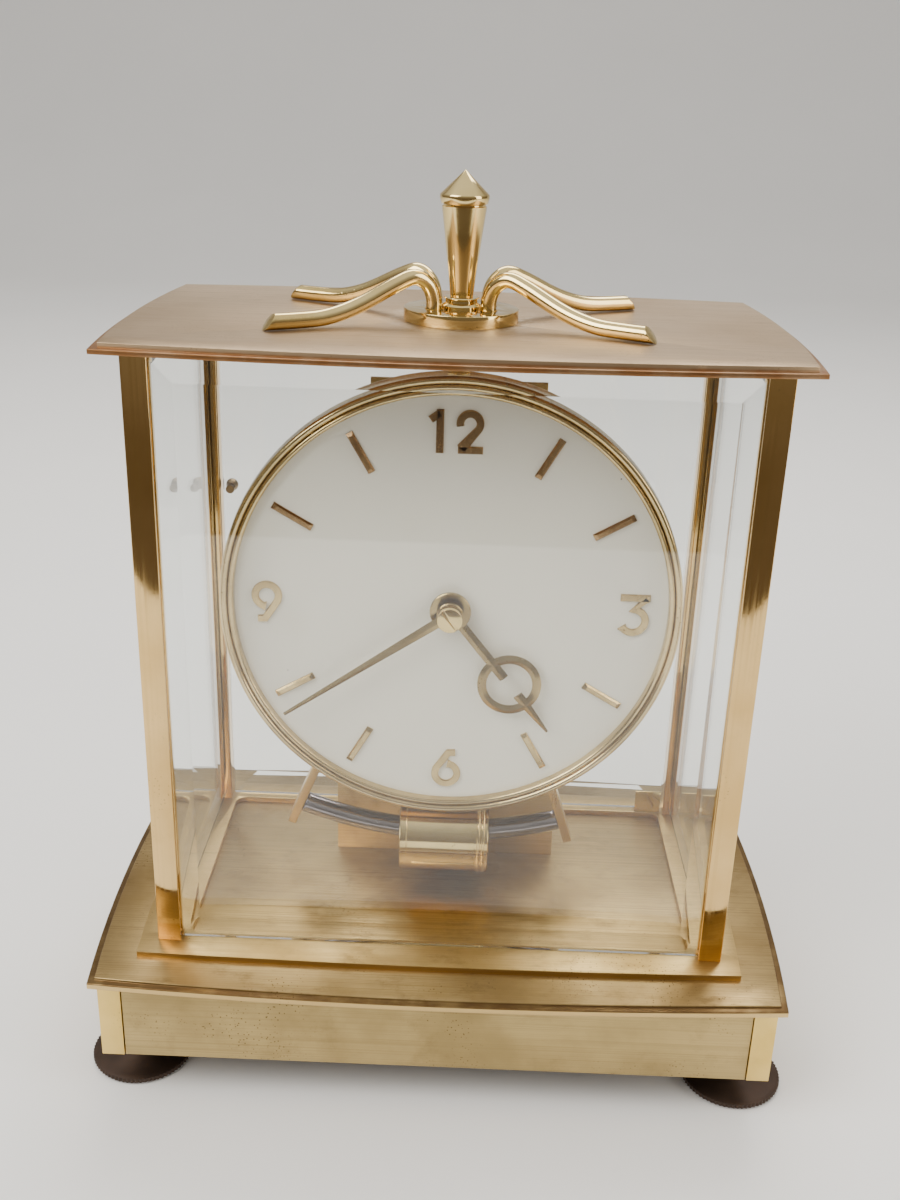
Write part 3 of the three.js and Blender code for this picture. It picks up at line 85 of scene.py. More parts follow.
class Value:
    """A number, colour or vector of a material, used in ordinary expressions."""

    def __init__(self, finish, socket):
        self.finish = finish
        self.socket = socket

    def maths(self, operation, first, second):
        return self.finish.node("ShaderNodeMath", {"operation": operation}, {0: first, 1: second})

    def __add__(self, other):
        return self.maths("ADD", self, other)

    def __radd__(self, other):
        return self.maths("ADD", other, self)

    def __sub__(self, other):
        return self.maths("SUBTRACT", self, other)

    def __rsub__(self, other):
        return self.maths("SUBTRACT", other, self)

    def __mul__(self, other):
        return self.maths("MULTIPLY", self, other)

    def __rmul__(self, other):
        return self.maths("MULTIPLY", other, self)


class Finish:
    """A material on one Principled shader, with the textures that its metal or paint needs."""

    def __init__(self, name, metallic=1.0, **fixed):
        self.material = bpy.data.materials.new(name)
        self.material.use_nodes = True
        self.tree = self.material.node_tree
        self.shader = self.tree.nodes["Principled BSDF"]
        self.shader.inputs["Metallic"].default_value = metallic
        for socket, value in fixed.items():
            self.shader.inputs[socket.replace("_", " ")].default_value = value

    def node(self, kind, settings, inputs, output=0):
        made = self.tree.nodes.new(kind)
        for name, value in settings.items():
            if name == "stops":
                self.set_stops(made.color_ramp, value)
            else:
                setattr(made, name, value)
        for name, value in inputs.items():
            if isinstance(value, Value):
                self.tree.links.new(value.socket, made.inputs[name])
            else:
                made.inputs[name].default_value = value
        return Value(self, made.outputs[output])

    @staticmethod
    def set_stops(ramp, stops):
        while len(ramp.elements) < len(stops):
            ramp.elements.new(1.0)
        for element, (place, colour) in zip(ramp.elements, stops):
            element.position = place
            element.color = (*colour, 1)

    def feed(self, socket, value):
        self.tree.links.new(value.socket, self.shader.inputs[socket])

    def place(self, stretch=(1, 1, 1)):
        here = self.node("ShaderNodeTexCoord", {}, {}, "Object")
        return self.node("ShaderNodeMapping", {}, {"Vector": here, "Scale": stretch})

    def axis(self, name):
        return self.node("ShaderNodeSeparateXYZ", {}, {0: self.place()}, name)

    def noise(self, scale, detail=3, stretch=(1, 1, 1), rough=0.5):
        sockets = {"Vector": self.place(stretch), "Scale": scale, "Detail": detail, "Roughness": rough}
        return self.node("ShaderNodeTexNoise", {}, sockets)

    def specks(self, scale):
        sockets = {"Vector": self.place(), "Scale": scale}
        return self.node("ShaderNodeTexVoronoi", {"feature": "F1"}, sockets)

    def between(self, value, low, high):
        sockets = {"Value": value, "From Min": low, "From Max": high}
        return self.node("ShaderNodeMapRange", {"interpolation_type": "SMOOTHSTEP"}, sockets)

    def mix(self, share, first, second):
        """A colour part of the way from first to second."""
        pair = [c if isinstance(c, Value) else (*c, 1) for c in (first, second)]
        return self.node("ShaderNodeMix", {"data_type": "RGBA"}, {0: share, 6: pair[0], 7: pair[1]}, 2)

    def bump(self, height, depth, strength=1.0):
        sockets = {"Height": height, "Distance": depth, "Strength": strength}
        self.feed("Normal", self.node("ShaderNodeBump", {}, sockets))


def floor_paint():
    paint = Finish("floor_paint", metallic=0.0)
    mottle = paint.noise(6, 4)
    paint.feed("Base Color", paint.mix(mottle, (0.86, 0.845, 0.815), (0.91, 0.895, 0.865)))
    paint.feed("Roughness", 0.5 + mottle * 0.15)
    return paint.material


FLOOR_HALF = 3.0
TABLE_EDGE = -0.53  # the table's front edge
WALL = 2.4
WALL_TOP = 3.0
BEND = 0.8  # radius between the table and the wall
BEND_STEPS = 12
TABLE_DROP = 0.0002  # keeps the table clear of the feet


def make_floor():
    """The table, curved up behind into a plain wall."""
    bm = bmesh.new()
    turn = [k * pi / (2 * BEND_STEPS) for k in range(BEND_STEPS + 1)]
    line = [(TABLE_EDGE, 0), *[(WALL - BEND + BEND * sin(a), BEND - BEND * cos(a)) for a in turn]]
    line.append((WALL, WALL_TOP))
    rows = [[bm.verts.new((x, y, z)) for x in (-FLOOR_HALF, FLOOR_HALF)] for y, z in line]
    for (left, right), (next_left, next_right) in zip(rows, rows[1:]):
        bm.faces.new((left, right, next_right, next_left))
    mesh = bpy.data.meshes.new("floor")
    bm.to_mesh(mesh)
    bm.free()
    mesh.shade_smooth()
    floor = bpy.data.objects.new("floor", mesh)
    floor.location.z = -TABLE_DROP
    mesh.materials.append(floor_paint())
    bpy.context.scene.collection.objects.link(floor)


def make_sky():
    world = bpy.data.worlds.new("sky")
    world.use_nodes = True
    tree = world.node_tree
    direction = tree.nodes.new("ShaderNodeTexCoord")
    split = tree.nodes.new("ShaderNodeSeparateXYZ")
    shades = tree.nodes.new("ShaderNodeValToRGB")
    raised = tree.nodes.new("ShaderNodeMapRange")
    raised.inputs["From Min"].default_value = -1
    tree.links.new(direction.outputs["Generated"], split.inputs[0])
    tree.links.new(split.outputs["Z"], raised.inputs["Value"])
    tree.links.new(raised.outputs[0], shades.inputs[0])
    Finish.set_stops(shades.color_ramp, [
        (0.0, (0.10, 0.08, 0.06)),
        (0.47, (0.16, 0.13, 0.10)),
        (0.56, (0.26, 0.23, 0.20)),
        (0.72, (0.42, 0.41, 0.40)),
        (0.92, (1.0, 1.0, 1.0)),
    ])
    background = tree.nodes["Background"]
    tree.links.new(shades.outputs[0], background.inputs["Color"])
    background.inputs["Strength"].default_value = 0.95
    bpy.context.scene.world = world


make_camera()
make_floor()
make_sky()
make_lamp("window", (-0.75, -0.55, 0.95), (0.8, 0.8), 15, (1.0, 0.98, 0.95))
make_lamp("room", (0.95, -0.35, 0.55), (0.5, 0.9), 6.5, (1.0, 0.94, 0.86))
make_lamp("ceiling", (0.1, 0.7, 1.1), (1.0, 0.5), 10, (1.0, 0.98, 0.95))


# ---- Plinth ----------------------------------------------------------------------------
# A brass cover plate with a raised middle and bowed edges lies on four brass rails.
# The plate is brushed along its width; its ledge is darkened with painted shade and its lip lightened with a
# painted highlight.

def metal(name, light, dark, rough, grain=None, pits=0.0, stains=0.0, scratches=0.0, patch=40):
    """Brass: tone in patches, an optional brushed grain, dark pits and stains."""
    finish = Finish(name)
    tone = finish.between(finish.noise(patch, 5), 0.35, 0.7)
    colour = finish.mix(tone, light, dark)
    roughness = rough + tone * (0.25 * rough)
    height = finish.noise(900, 2) * 0.06
    if grain:
        lines = finish.noise(1, 4, grain, 0.65)
        colour = finish.mix(finish.between(lines, 0.42, 0.70) * 0.65, colour, dark)
        roughness = roughness + (lines - 0.5) * 0.28
        height = height + lines * 0.5
    if scratches:
        worn = finish.between(finish.noise(1, 2, (60, 2600, 40)), 0.68, 0.74)
        roughness = roughness + worn * 0.2 * scratches
        height = height - worn * 0.4 * scratches
    if pits:
        where = finish.between(finish.noise(55, 3), 0.52, 0.66)
        spots = (1 - finish.between(finish.specks(900), 0.10, 0.26)) * where * pits
        colour = finish.mix(spots, colour, (0.06, 0.035, 0.015))
        roughness = roughness + spots * 0.4
        height = height - spots * 0.9
    if stains:
        cloud = finish.between(finish.noise(70, 8, (1, 1.6, 1), 0.72), 0.50, 0.72) * stains
        colour = finish.mix(cloud, colour, (0.09, 0.05, 0.022))
        roughness = roughness + cloud * 0.25
    finish.feed("Roughness", roughness)
    finish.bump(height, 0.05 * MM, 0.5)
    return finish, colour


def piece_of(bm, name, body, finish, stands_for=(), smooth=35):
    mesh = bpy.data.meshes.new(name)
    bm.to_mesh(mesh)
    bm.free()
    mesh.shade_smooth()
    mesh.set_sharp_from_angle(angle=radians(smooth))
    piece = bpy.data.objects.new(name, mesh)
    mesh.materials.append(finish)
    bpy.context.scene.collection.objects.link(piece)
    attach(piece, body)
    if stands_for:
        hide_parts(*stands_for)
    return piece


def soften(bm, width, segments=2, sharp=30):
    """Breaks every edge that is sharper than the given angle in degrees."""
    edges = [e for e in bm.edges if e.is_manifold and e.calc_face_angle() > radians(sharp)]
    bmesh.ops.bevel(
        bm, geom=edges, offset=width, offset_type="OFFSET", segments=segments,
        profile=0.5, affect="EDGES", clamp_overlap=True, material=-1,
    )


WELD = 1e-6  # vertices nearer than this are one
BODY_OF = {n: b for b, nodes in frame["record"]["behaviour"]["bodies"].items() for n in nodes}


def dressed(node, finish, edge=0.15, segments=2):
    """The fixed frame's own shape of a piece, with its sharp edges broken by a file."""
    bm = bmesh.new()
    bm.from_mesh(frame["nodes"][node].data)
    bmesh.ops.remove_doubles(bm, verts=bm.verts, dist=WELD)
    bmesh.ops.dissolve_limit(
        bm, angle_limit=radians(0.3), verts=bm.verts, edges=bm.edges, delimit={"NORMAL"},
    )
    soften(bm, edge * MM, segments)
    return piece_of(bm, node + "_dressed", BODY_OF[node], finish, [node])


BRUSHED = (9, 2600, 2600)  # grain that runs along the clock's width


def ledge_painted_shade(finish, colour, ledge, top, dark):
    """Paints shade on what lies below the top face, broken up by noise."""
    low = 1 - finish.between(finish.axis("Z"), ledge, top)
    broken = finish.between(finish.noise(120, 5), 0.3, 0.6)
    return finish.mix(low * (0.55 + broken * 0.4), colour, dark)


def plate_brass(node):
    finish, colour = metal(
        "cover_brass", (0.55, 0.39, 0.17), (0.26, 0.17, 0.065), 0.34, BRUSHED, 0.8, 0.4, 0.6, 22,
    )
    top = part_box(node)[1].z
    # painted shade: the ledge just below the top face is darkened
    band = ledge_painted_shade(finish, colour, top - 0.55 * MM, top - 0.2 * MM, (0.13, 0.075, 0.03))
    # painted highlight: the lip below the ledge is painted a lighter brass
    lip = finish.between(finish.axis("Z"), top - 1.0 * MM, top - 1.2 * MM)
    finish.feed("Base Color", finish.mix(lip, band, (0.66, 0.47, 0.20)))
    return finish.material


def simple_brass(*settings, **more):
    finish, colour = metal(*settings, **more)
    finish.feed("Base Color", colour)
    return finish.material


rail_brass = simple_brass(
    "front_rail_brass", (0.52, 0.39, 0.17), (0.38, 0.28, 0.12), 0.40, BRUSHED, 0.7, 0.18,
)
end_brass = simple_brass("rail_end_brass", (0.86, 0.62, 0.20), (0.70, 0.47, 0.12), 0.27, None, 0.9, 0.12)
iron = Finish("blackened_iron", metallic=0.7)
iron_tone = iron.noise(160, 5)
iron.feed("Base Color", iron.mix(iron_tone, (0.035, 0.024, 0.018), (0.085, 0.052, 0.036)))
iron.feed("Roughness", 0.35 + iron_tone * 0.3)
iron.bump(iron_tone, 0.05 * MM, 0.6)

dressed("plinth_cover", plate_brass("plinth_cover"), 0.22)
for node in ("plinth_rail_front", "plinth_rail_rear"):
    dressed(node, rail_brass, 0.18)
for node in ("plinth_rail_left", "plinth_rail_right"):
    dressed(node, end_brass, 0.18)
dressed("plinth_bottom", iron.material, 0.2)


# ---- Levelling feet ---------------------------------------------------------------------
# Each foot is a blackened iron disc with a knurled rim, on a threaded stud.
# The stud screws into the plinth's bottom sheet.

def turned(profile, centre, axis=(0, 0, 1), steps=96):
    """A profile of (radius, height) in millimetres, spun round an axis through the centre."""
    bm = bmesh.new()
    verts = [bm.verts.new((radius * MM, 0, height * MM)) for radius, height in profile]
    loop = list(zip(verts, verts[1:]))
    if profile[0][0] > 0:
        loop.append((verts[-1], verts[0]))
    edges = [bm.edges.new(pair) for pair in loop]
    bmesh.ops.spin(
        bm, geom=verts + edges, cent=(0, 0, 0), axis=(0, 0, 1),
        angle=2 * pi, steps=steps, use_merge=True, use_duplicate=False,
    )
    bmesh.ops.remove_doubles(bm, verts=bm.verts, dist=WELD)
    bmesh.ops.recalc_face_normals(bm, faces=bm.faces)
    place = Vector(axis).to_track_quat("Z", "Y").to_matrix().to_4x4()
    place.translation = centre
    bmesh.ops.transform(bm, matrix=place, verts=bm.verts)
    return bm


FOOT_STEPS = 144
FOOT_KNURL = 0.975  # how far in the rim's grooves are, as a share of its radius
THREAD_START = 3.6
THREAD_PITCH = 0.8
THREAD_CORE = 1.85
THREAD_CREST = 2.15


def make_foot(node):
    low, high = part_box(node)
    centre = Vector(((low.x + high.x) / 2, (low.y + high.y) / 2, 0))
    radius = (high.x - low.x) / 2 / MM
    top = high.z / MM
    profile = [(0, 0), (radius - 1.2, 0), (radius - 0.5, 0.45), (radius, 0.55), (radius, 1.9),
               (radius - 0.5, 2.0), (radius - 1.4, 2.4), (4.2, 2.4), (3.6, 3.0), (2.1, 3.1)]
    level = THREAD_START
    while level < top - THREAD_PITCH:
        profile += [(THREAD_CORE, level), (THREAD_CREST, level + THREAD_PITCH / 2)]
        level += THREAD_PITCH
    profile += [(1.7, top), (0, top)]
    bm = turned(profile, centre, steps=FOOT_STEPS)
    for vert in bm.verts:
        out = (vert.co - centre).xy
        step = round(out.angle_signed(Vector((1, 0)), 0) / (2 * pi / FOOT_STEPS))
        if out.length > (radius - 0.05) * MM and step % 2:
            bmesh.ops.scale(
                bm, vec=(FOOT_KNURL, FOOT_KNURL, 1), verts=[vert], space=Matrix.Translation(-centre),
            )
    piece_of(bm, node + "_knurled", BODY_OF[node], iron.material, [node], 50)


for corner in ("front_left", "front_right", "rear_left", "rear_right"):
    make_foot("foot_" + corner)


# ---- Floor frame -------------------------------------------------------------------------
# A brass frame with a round-cornered opening lies on the cover plate. The pillars stand on it.
# Its faces are brushed like the cover; its sides are painted a darker amber as painted shade.

frame_brass, frame_colour = metal(
    "floor_frame_brass", (0.68, 0.48, 0.20), (0.44, 0.29, 0.10), 0.33, BRUSHED, 0.6, 0.35, 0.5, 30,
)
frame_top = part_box("floor_frame")[1].z
# painted shade: the sides below the top face are a darker amber
frame_side_shade = 1 - frame_brass.between(frame_brass.axis("Z"), frame_top - 0.35 * MM, frame_top - 0.15 * MM)
frame_brass.feed("Base Color", frame_brass.mix(frame_side_shade * 0.7, frame_colour, (0.44, 0.27, 0.09)))
dressed("floor_frame", frame_brass.material, 0.18)


# ---- Pillars ----------------------------------------------------------------------------
# Four square drawn-brass pillars, mirror polished, with a rose tone. Slots hold the glass.
# Their feet carry a painted amber reflection of the frame that they stand on.

rose, rose_colour = metal(
    "rose_brass", (0.80, 0.55, 0.23), (0.67, 0.44, 0.16), 0.08, (900, 900, 7), 0.45, 0.06,
)
# the painted reflection is full up to the first height and gone at the second
FOOT_REFLECTION_FULL = 5.0 * MM  # heights above the floor frame
FOOT_REFLECTION_GONE = 6.5 * MM
# painted reflection: the pillars' feet are tinted amber where they mirror the floor frame
foot_painted_reflection = 1 - rose.between(rose.axis("Z"), frame_top + FOOT_REFLECTION_FULL, frame_top + FOOT_REFLECTION_GONE)
rose.feed("Base Color", rose.mix(foot_painted_reflection * 0.55, rose_colour, (0.50, 0.25, 0.05)))
for corner in ("front_left", "front_right", "rear_left", "rear_right"):
    dressed("pillar_" + corner, rose.material, 0.22, 3)


# ---- Glass --------------------------------------------------------------------------------
# Three fixed panes and the door's pane are 3 mm plate glass with wide polished bevels.
# The fixed panes sit in the pillars' slots.

def pane_glass():
    glass = Finish("bevelled_glass", metallic=0.0, Transmission_Weight=1.0, IOR=1.5)
    glass.shader.inputs["Base Color"].default_value = (0.975, 0.99, 0.98, 1)
    smear = glass.between(glass.noise(35, 5), 0.5, 0.8)
    glass.feed("Roughness", 0.004 + smear * 0.03)
    nodes = glass.tree.nodes
    clear = nodes.new("ShaderNodeBsdfTransparent")
    clear.inputs[0].default_value = (0.97, 0.98, 0.972, 1)
    rays = nodes.new("ShaderNodeLightPath")
    either = nodes.new("ShaderNodeMixShader")
    links = glass.tree.links
    links.new(rays.outputs["Is Shadow Ray"], either.inputs[0])
    links.new(glass.shader.outputs[0], either.inputs[1])
    links.new(clear.outputs[0], either.inputs[2])
    links.new(either.outputs[0], nodes["Material Output"].inputs["Surface"])
    return glass.material


clear_glass = pane_glass()
for node in ("glass_front", "glass_left", "glass_right", "rear_door_glass"):
    frame["nodes"][node].data.materials.clear()
    frame["nodes"][node].data.materials.append(clear_glass)


# ---- Rear door furniture ------------------------------------------------------------------
# Two folded brass shoes are clamped on the door glass and turn on pins in the frame and lid.
# A small turned knob is screwed through the glass near the free edge.

polished = simple_brass(
    "polished_brass", (0.87, 0.67, 0.30), (0.68, 0.49, 0.18), 0.10, None, 0.75, 0.08,
)
for node in ("door_hinge_lower", "door_hinge_upper"):
    dressed(node, polished, 0.1)


def make_door_knob():
    low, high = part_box("door_knob")
    centre = Vector(((low.x + high.x) / 2, high.y, (low.z + high.z) / 2))
    length = (high.y - low.y) / MM
    stem = 0.8
    head = 3.9
    widest = 2.0
    washer = 0.8
    washer_radius = 1.4
    profile = [(0, 0), (1.1, 0), (1.7, 0.3), (widest, 1.0), (widest, 1.7), (1.7, 2.5), (1.1, 3.3)]
    profile += [(1.2, head), (stem, head), (stem, length - washer), (washer_radius, length - washer)]
    profile += [(washer_radius, length - 0.15), (1.25, length), (0, length)]
    bm = turned(profile, centre, (0, -1, 0), 64)
    dark = simple_brass("aged_brass", (0.22, 0.15, 0.08), (0.12, 0.08, 0.04), 0.3, None, 0.5, 0.3)
    piece_of(bm, "door_knob_turned", BODY_OF["door_knob"], dark, ["door_knob"])


make_door_knob()


# ---- Top plate ------------------------------------------------------------------------------
# The lid is a stepped brass plate with bowed edges, satin brushed along its width.
# The ledge and the edges are darkened with painted shade; the handle's rosette is bolted through its middle.

DUST_FULL = 16 * MM  # dust lies round the handle, out to these radii
DUST_GONE = 28 * MM


def lid_brass(node):
    finish, colour = metal(
        "lid_brass", (0.54, 0.40, 0.25), (0.34, 0.24, 0.14), 0.38, BRUSHED, 0.35, 0.16, 0.6, 16,
    )
    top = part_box(node)[1].z
    from_middle = finish.node(
        "ShaderNodeVectorMath", {"operation": "LENGTH"}, {0: finish.place((1, 1, 0))}, "Value",
    )
    near = 1 - finish.between(from_middle, DUST_FULL, DUST_GONE)
    dust = finish.between(finish.noise(260, 6, rough=0.8), 0.44, 0.62) * near
    dusty = finish.mix(dust * 0.45, colour, (0.66, 0.58, 0.47))
    # painted shade on the ledge and edges below the lid's top face
    edged = ledge_painted_shade(finish, dusty, top - 1.2 * MM, top - 0.5 * MM, (0.26, 0.12, 0.045))
    finish.feed("Base Color", edged)
    return finish.material


dressed("top_plate", lid_brass("top_plate"), 0.25)


# ---- Handle ---------------------------------------------------------------------------------
# Four polished brass rods bend out of a turned rosette, arch over and lie down along the lid.
# A collar and a long tapered finial stand on the rosette; its stud passes the lid to a nut inside.

LID_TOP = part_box("top_plate")[1].z
ROD_RADIUS = 2.15 * MM
ROD_ROOT = 8.6 * MM
ROD_REACH = 57.6 * MM
ROD_CUT = radians(38)
ROD_SPREAD = radians(28.5)
ROD_SIDES = 24
ROD_RISE = 9.8 * MM  # from where the rods lie to the top of their arch


def swept(section, stations):
    """A closed section carried through the stations, with a flat face at each end."""
    bm = bmesh.new()
    ring = [bm.verts.new(stations[0] @ Vector(point)) for point in section]
    first = [bm.edges.new(pair) for pair in zip(ring, ring[1:] + ring[:1])]
    edges = first
    for before, after in zip(stations, stations[1:]):
        made = bmesh.ops.extrude_edge_only(bm, edges=edges)["geom"]
        verts = [item for item in made if isinstance(item, bmesh.types.BMVert)]
        edges = [item for item in made if isinstance(item, bmesh.types.BMEdge)]
        bmesh.ops.transform(bm, matrix=after @ before.inverted(), verts=verts)
    bmesh.ops.edgeloop_fill(bm, edges=first)
    bmesh.ops.edgeloop_fill(bm, edges=edges)
    bmesh.ops.recalc_face_normals(bm, faces=bm.faces)
    return bm


def flowing(points, count):
    """A smooth line through the points."""
    spread = [points[0] * 2 - points[1], *points, points[-1] * 2 - points[-2]]
    line = [points[0]]
    for before, start, end, after in zip(spread, spread[1:], spread[2:], spread[3:]):
        reach = (end - start).length / 3
        leave = start + (end - before).normalized() * reach
        arrive = end - (after - start).normalized() * reach
        line += interpolate_bezier(start, leave, arrive, end, count)[1:]
    return line


def stations_along(line, side):
    """A frame at each point of a flat line; side is square to the line's plane."""
    frames = []
    for index, point in enumerate(line):
        ahead = line[min(index + 1, len(line) - 1)] - line[max(index - 1, 0)]
        ahead.normalize()
        turn = Matrix((side, ahead.cross(side), ahead)).transposed().to_4x4()
        frames.append(Matrix.Translation(point) @ turn)
    return frames


def round_section(radius, sides):
    turns = [2 * pi * k / sides for k in range(sides)]
    return [(radius * cos(a), radius * sin(a), 0) for a in turns]


def make_rod(name, angle):
    rest = LID_TOP + ROD_RADIUS + 0.12 * MM
    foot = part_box("handle_rosette")[1].z - 1.8 * MM
    crest = rest + ROD_RISE
    route = [
        (0, foot), (0, foot + 4.6 * MM), (1.7 * MM, crest - 2.1 * MM), (5.4 * MM, crest),
        (9.8 * MM, crest - 1.1 * MM), (22.6 * MM, rest + 2.9 * MM), (31.3 * MM, rest + 0.5 * MM),
        (40.0 * MM, rest + 0.02 * MM), (ROD_REACH - ROD_ROOT + 3 * MM, rest),
    ]
    line = flowing([Vector((ROD_ROOT + out, 0, height)) for out, height in route], 9)
    bm = swept(round_section(ROD_RADIUS, ROD_SIDES), stations_along(line, Vector((0, 1, 0))))
    cut = bmesh.ops.bisect_plane(
        bm, geom=bm.verts[:] + bm.edges[:] + bm.faces[:], clear_outer=True,
        plane_co=(ROD_REACH - ROD_RADIUS * tan(ROD_CUT), 0, rest),
        plane_no=(cos(ROD_CUT), 0, sin(ROD_CUT)),
    )
    bmesh.ops.edgeloop_fill(bm, edges=[e for e in cut["geom_cut"] if isinstance(e, bmesh.types.BMEdge)])
    soften(bm, 0.12 * MM, 2, 40)
    bmesh.ops.rotate(bm, cent=(0, 0, 0), matrix=Matrix.Rotation(angle, 3, "Z"), verts=bm.verts)
    piece_of(bm, name + "_bent", "case", polished, [name])


for name, angle in (
    ("front_left", pi + ROD_SPREAD),
    ("front_right", -ROD_SPREAD),
    ("rear_left", pi - ROD_SPREAD),
    ("rear_right", ROD_SPREAD),
):
    make_rod("handle_rod_" + name, angle)

dressed("handle_rosette", polished, 0.3, 3)
rosette_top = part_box("handle_rosette")[1].z / MM
collar = [(2.0, 0), (5.3, 0), (5.3, 0.7), (4.9, 1.1), (4.4, 1.5), (4.35, 2.2), (4.6, 2.5), (4.9, 2.75),
          (4.7, 3.0), (2.0, 3.0)]
bm = turned([(r, rosette_top + h) for r, h in collar], Vector())
piece_of(bm, "finial_collar_turned", "case", polished, ["finial_collar"])


def finial_profile():
    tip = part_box("finial")[1].z / MM
    widest = tip - 6.3
    neck = rosette_top + 3
    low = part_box("finial")[0].z / MM
    shoulder = widest - 3.0
    narrow = 3.15
    swell = 2.95  # what the taper adds to its radius
    curve = 1.08  # above 1 it bows inwards
    steps = 12
    taper = [
        (narrow + swell * (k / steps) ** curve, neck + (shoulder - neck) * k / steps)
        for k in range(steps + 1)
    ]
    groove = [(5.75, shoulder + 0.2), (5.75, shoulder + 0.5), (6.3, shoulder + 0.75)]
    crown = [(6.7, widest - 0.9), (6.7, widest - 0.15), (6.55, widest + 0.15), (0.12, tip - 0.05)]
    return [(0, low), (1.6, low), (1.8, low + 0.3), (1.8, neck), *taper, *groove, *crown, (0, tip)]


bm = turned(finial_profile(), Vector(), steps=128)
piece_of(bm, "finial_turned", "case", polished, ["finial"], 28)
dressed("finial_nut", polished, 0.2)


# ---- Dial -----------------------------------------------------------------------------------
# The dial is a silvered, lacquered brass disc. A spun brass bezel with two rounded rings
# holds it on the rim of a shallow brass pan.

dial_low, dial_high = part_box("dial_plate")
DIAL_CENTRE = (dial_low.z + dial_high.z) / 2
DIAL_FRONT = -dial_low.y
HERE = Vector((0, 0, DIAL_CENTRE))
FORWARD = (0, -1, 0)


def silvered():
    finish = Finish("silvered_dial", metallic=0.12, Coat_Weight=0.15, Coat_Roughness=0.3)
    cloud = finish.noise(14, 4)
    grain = finish.noise(1, 3, (2200, 2200, 160))
    aged = finish.between(finish.noise(40, 6), 0.58, 0.8) * 0.3
    specks = 1 - finish.between(finish.specks(190), 0.035, 0.06)
    rare = specks * finish.between(finish.noise(30, 2), 0.6, 0.66)
    colour = finish.mix(cloud, (0.84, 0.80, 0.69), (0.90, 0.86, 0.76))
    colour = finish.mix(aged, colour, (0.76, 0.70, 0.56))
    finish.feed("Base Color", finish.mix(rare * 0.8, colour, (0.12, 0.09, 0.06)))
    finish.feed("Roughness", 0.42 + grain * 0.12)
    finish.bump(grain, 0.02 * MM, 0.3)
    return finish.material


front = DIAL_FRONT / MM
back = front - 0.8
rim = (dial_high.x - dial_low.x) / 2 / MM
dial_profile = [(3.1, back), (rim, back), (rim, front), (3.35, front), (3.1, front - 0.2)]
bm = turned(dial_profile, HERE, FORWARD, 128)
piece_of(bm, "dial_plate_silvered", "case", silvered(), ["dial_plate"])


def arc(x, y, radius, start, end, count):
    """Points on an arc, from one angle in degrees to another."""
    angles = [radians(start + (end - start) * k / count) for k in range(count + 1)]
    return [(x + radius * cos(a), y + radius * sin(a)) for a in angles]


def bezel_profile():
    inner = rim - 1.5
    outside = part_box("bezel")[1].x / MM
    top = -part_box("bezel")[0].y / MM
    rear = -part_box("bezel")[1].y / MM
    small = 0.85
    large = 1.05
    wall = [(rim + 0.2, rear), (outside - 0.9, rear), (outside, rear + 0.5), (outside, back)]
    outer_ring = arc(outside - large - 0.2, top - large, large, -20, 165, 12)
    inner_ring = arc(inner + small, top - small - 0.35, small, 40, 190, 10)
    groove = [(outside - 2 * large - 0.25, top - 1.9)]
    return [*wall, *outer_ring, *groove, *inner_ring, (inner, front + 0.1), (rim + 0.2, front + 0.1)]


bezel_brass = simple_brass("bezel_brass", (0.68, 0.53, 0.28), (0.50, 0.38, 0.18), 0.14, None, 1.0, 0.25)
bm = turned(bezel_profile(), HERE, FORWARD, 160)
piece_of(bm, "bezel_spun", "case", bezel_brass, ["bezel"], 50)

works_brass = simple_brass(
    "works_brass", (0.70, 0.52, 0.22), (0.55, 0.39, 0.14), 0.28, (2200, 2200, 14), 0.4, 0.15,
)


def make_pan():
    low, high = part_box("dial_pan")
    radius = (high.x - low.x) / 2 / MM
    floor = -high.y / MM
    mouth = 32
    wall = 0.8
    bend = 2
    outside = [(mouth, floor), (radius - bend, floor)]
    outside += arc(radius - bend, floor + bend, bend, -90, 0, 6)[1:]
    inside = [(radius - wall, back)] + arc(radius - bend, floor + bend, bend - wall, 0, -90, 6)
    profile = outside + [(radius, back)] + inside + [(mouth, floor + wall)]
    bm = turned(profile, HERE, FORWARD, 128)
    piece_of(bm, "dial_pan_spun", "case", works_brass, ["dial_pan"])


make_pan()


# ---- Numerals and batons -----------------------------------------------------------------------
# Four numerals and eight batons of gilt brass stand on the dial; the upper ones are painted darker, as
# painted shade.
# Each is stamped with sloping sides, so that it has a flat top between two facets.

STROKE = 2.1
FLAT = 0.8  # share of a stroke's width that its top takes
RAISED = 0.75


def gilt_metal(name, light, dark):
    finish, colour = metal(name, light, dark, 0.2, None, 0.5, 0.15, 0, 90)
    finish.feed("Base Color", colour)
    return finish.material


gilt = gilt_metal("gilt", (0.66, 0.50, 0.24), (0.46, 0.33, 0.14))
# painted shade: a darker copy of the gilt for the numerals and batons at the top of the dial
shaded_gilt = gilt_metal("gilt_painted_shade", (0.44, 0.29, 0.15), (0.27, 0.16, 0.08))


def on_dial(clockwise=0.0):
    """From (right, up, forwards) on the dial to its place in the clock."""
    turn = Matrix.Rotation(clockwise, 4, "Y") @ Matrix.Rotation(radians(90), 4, "X")
    return Matrix.Translation(HERE) @ turn


def hull(points, place):
    """The solid that spans the given points, in millimetres."""
    bm = bmesh.new()
    for point in points:
        bm.verts.new(place @ (Vector(point) * MM))
    bmesh.ops.convex_hull(bm, input=bm.verts)
    bmesh.ops.dissolve_limit(bm, angle_limit=radians(1), verts=bm.verts, edges=bm.edges)
    bmesh.ops.recalc_face_normals(bm, faces=bm.faces)
    return bm


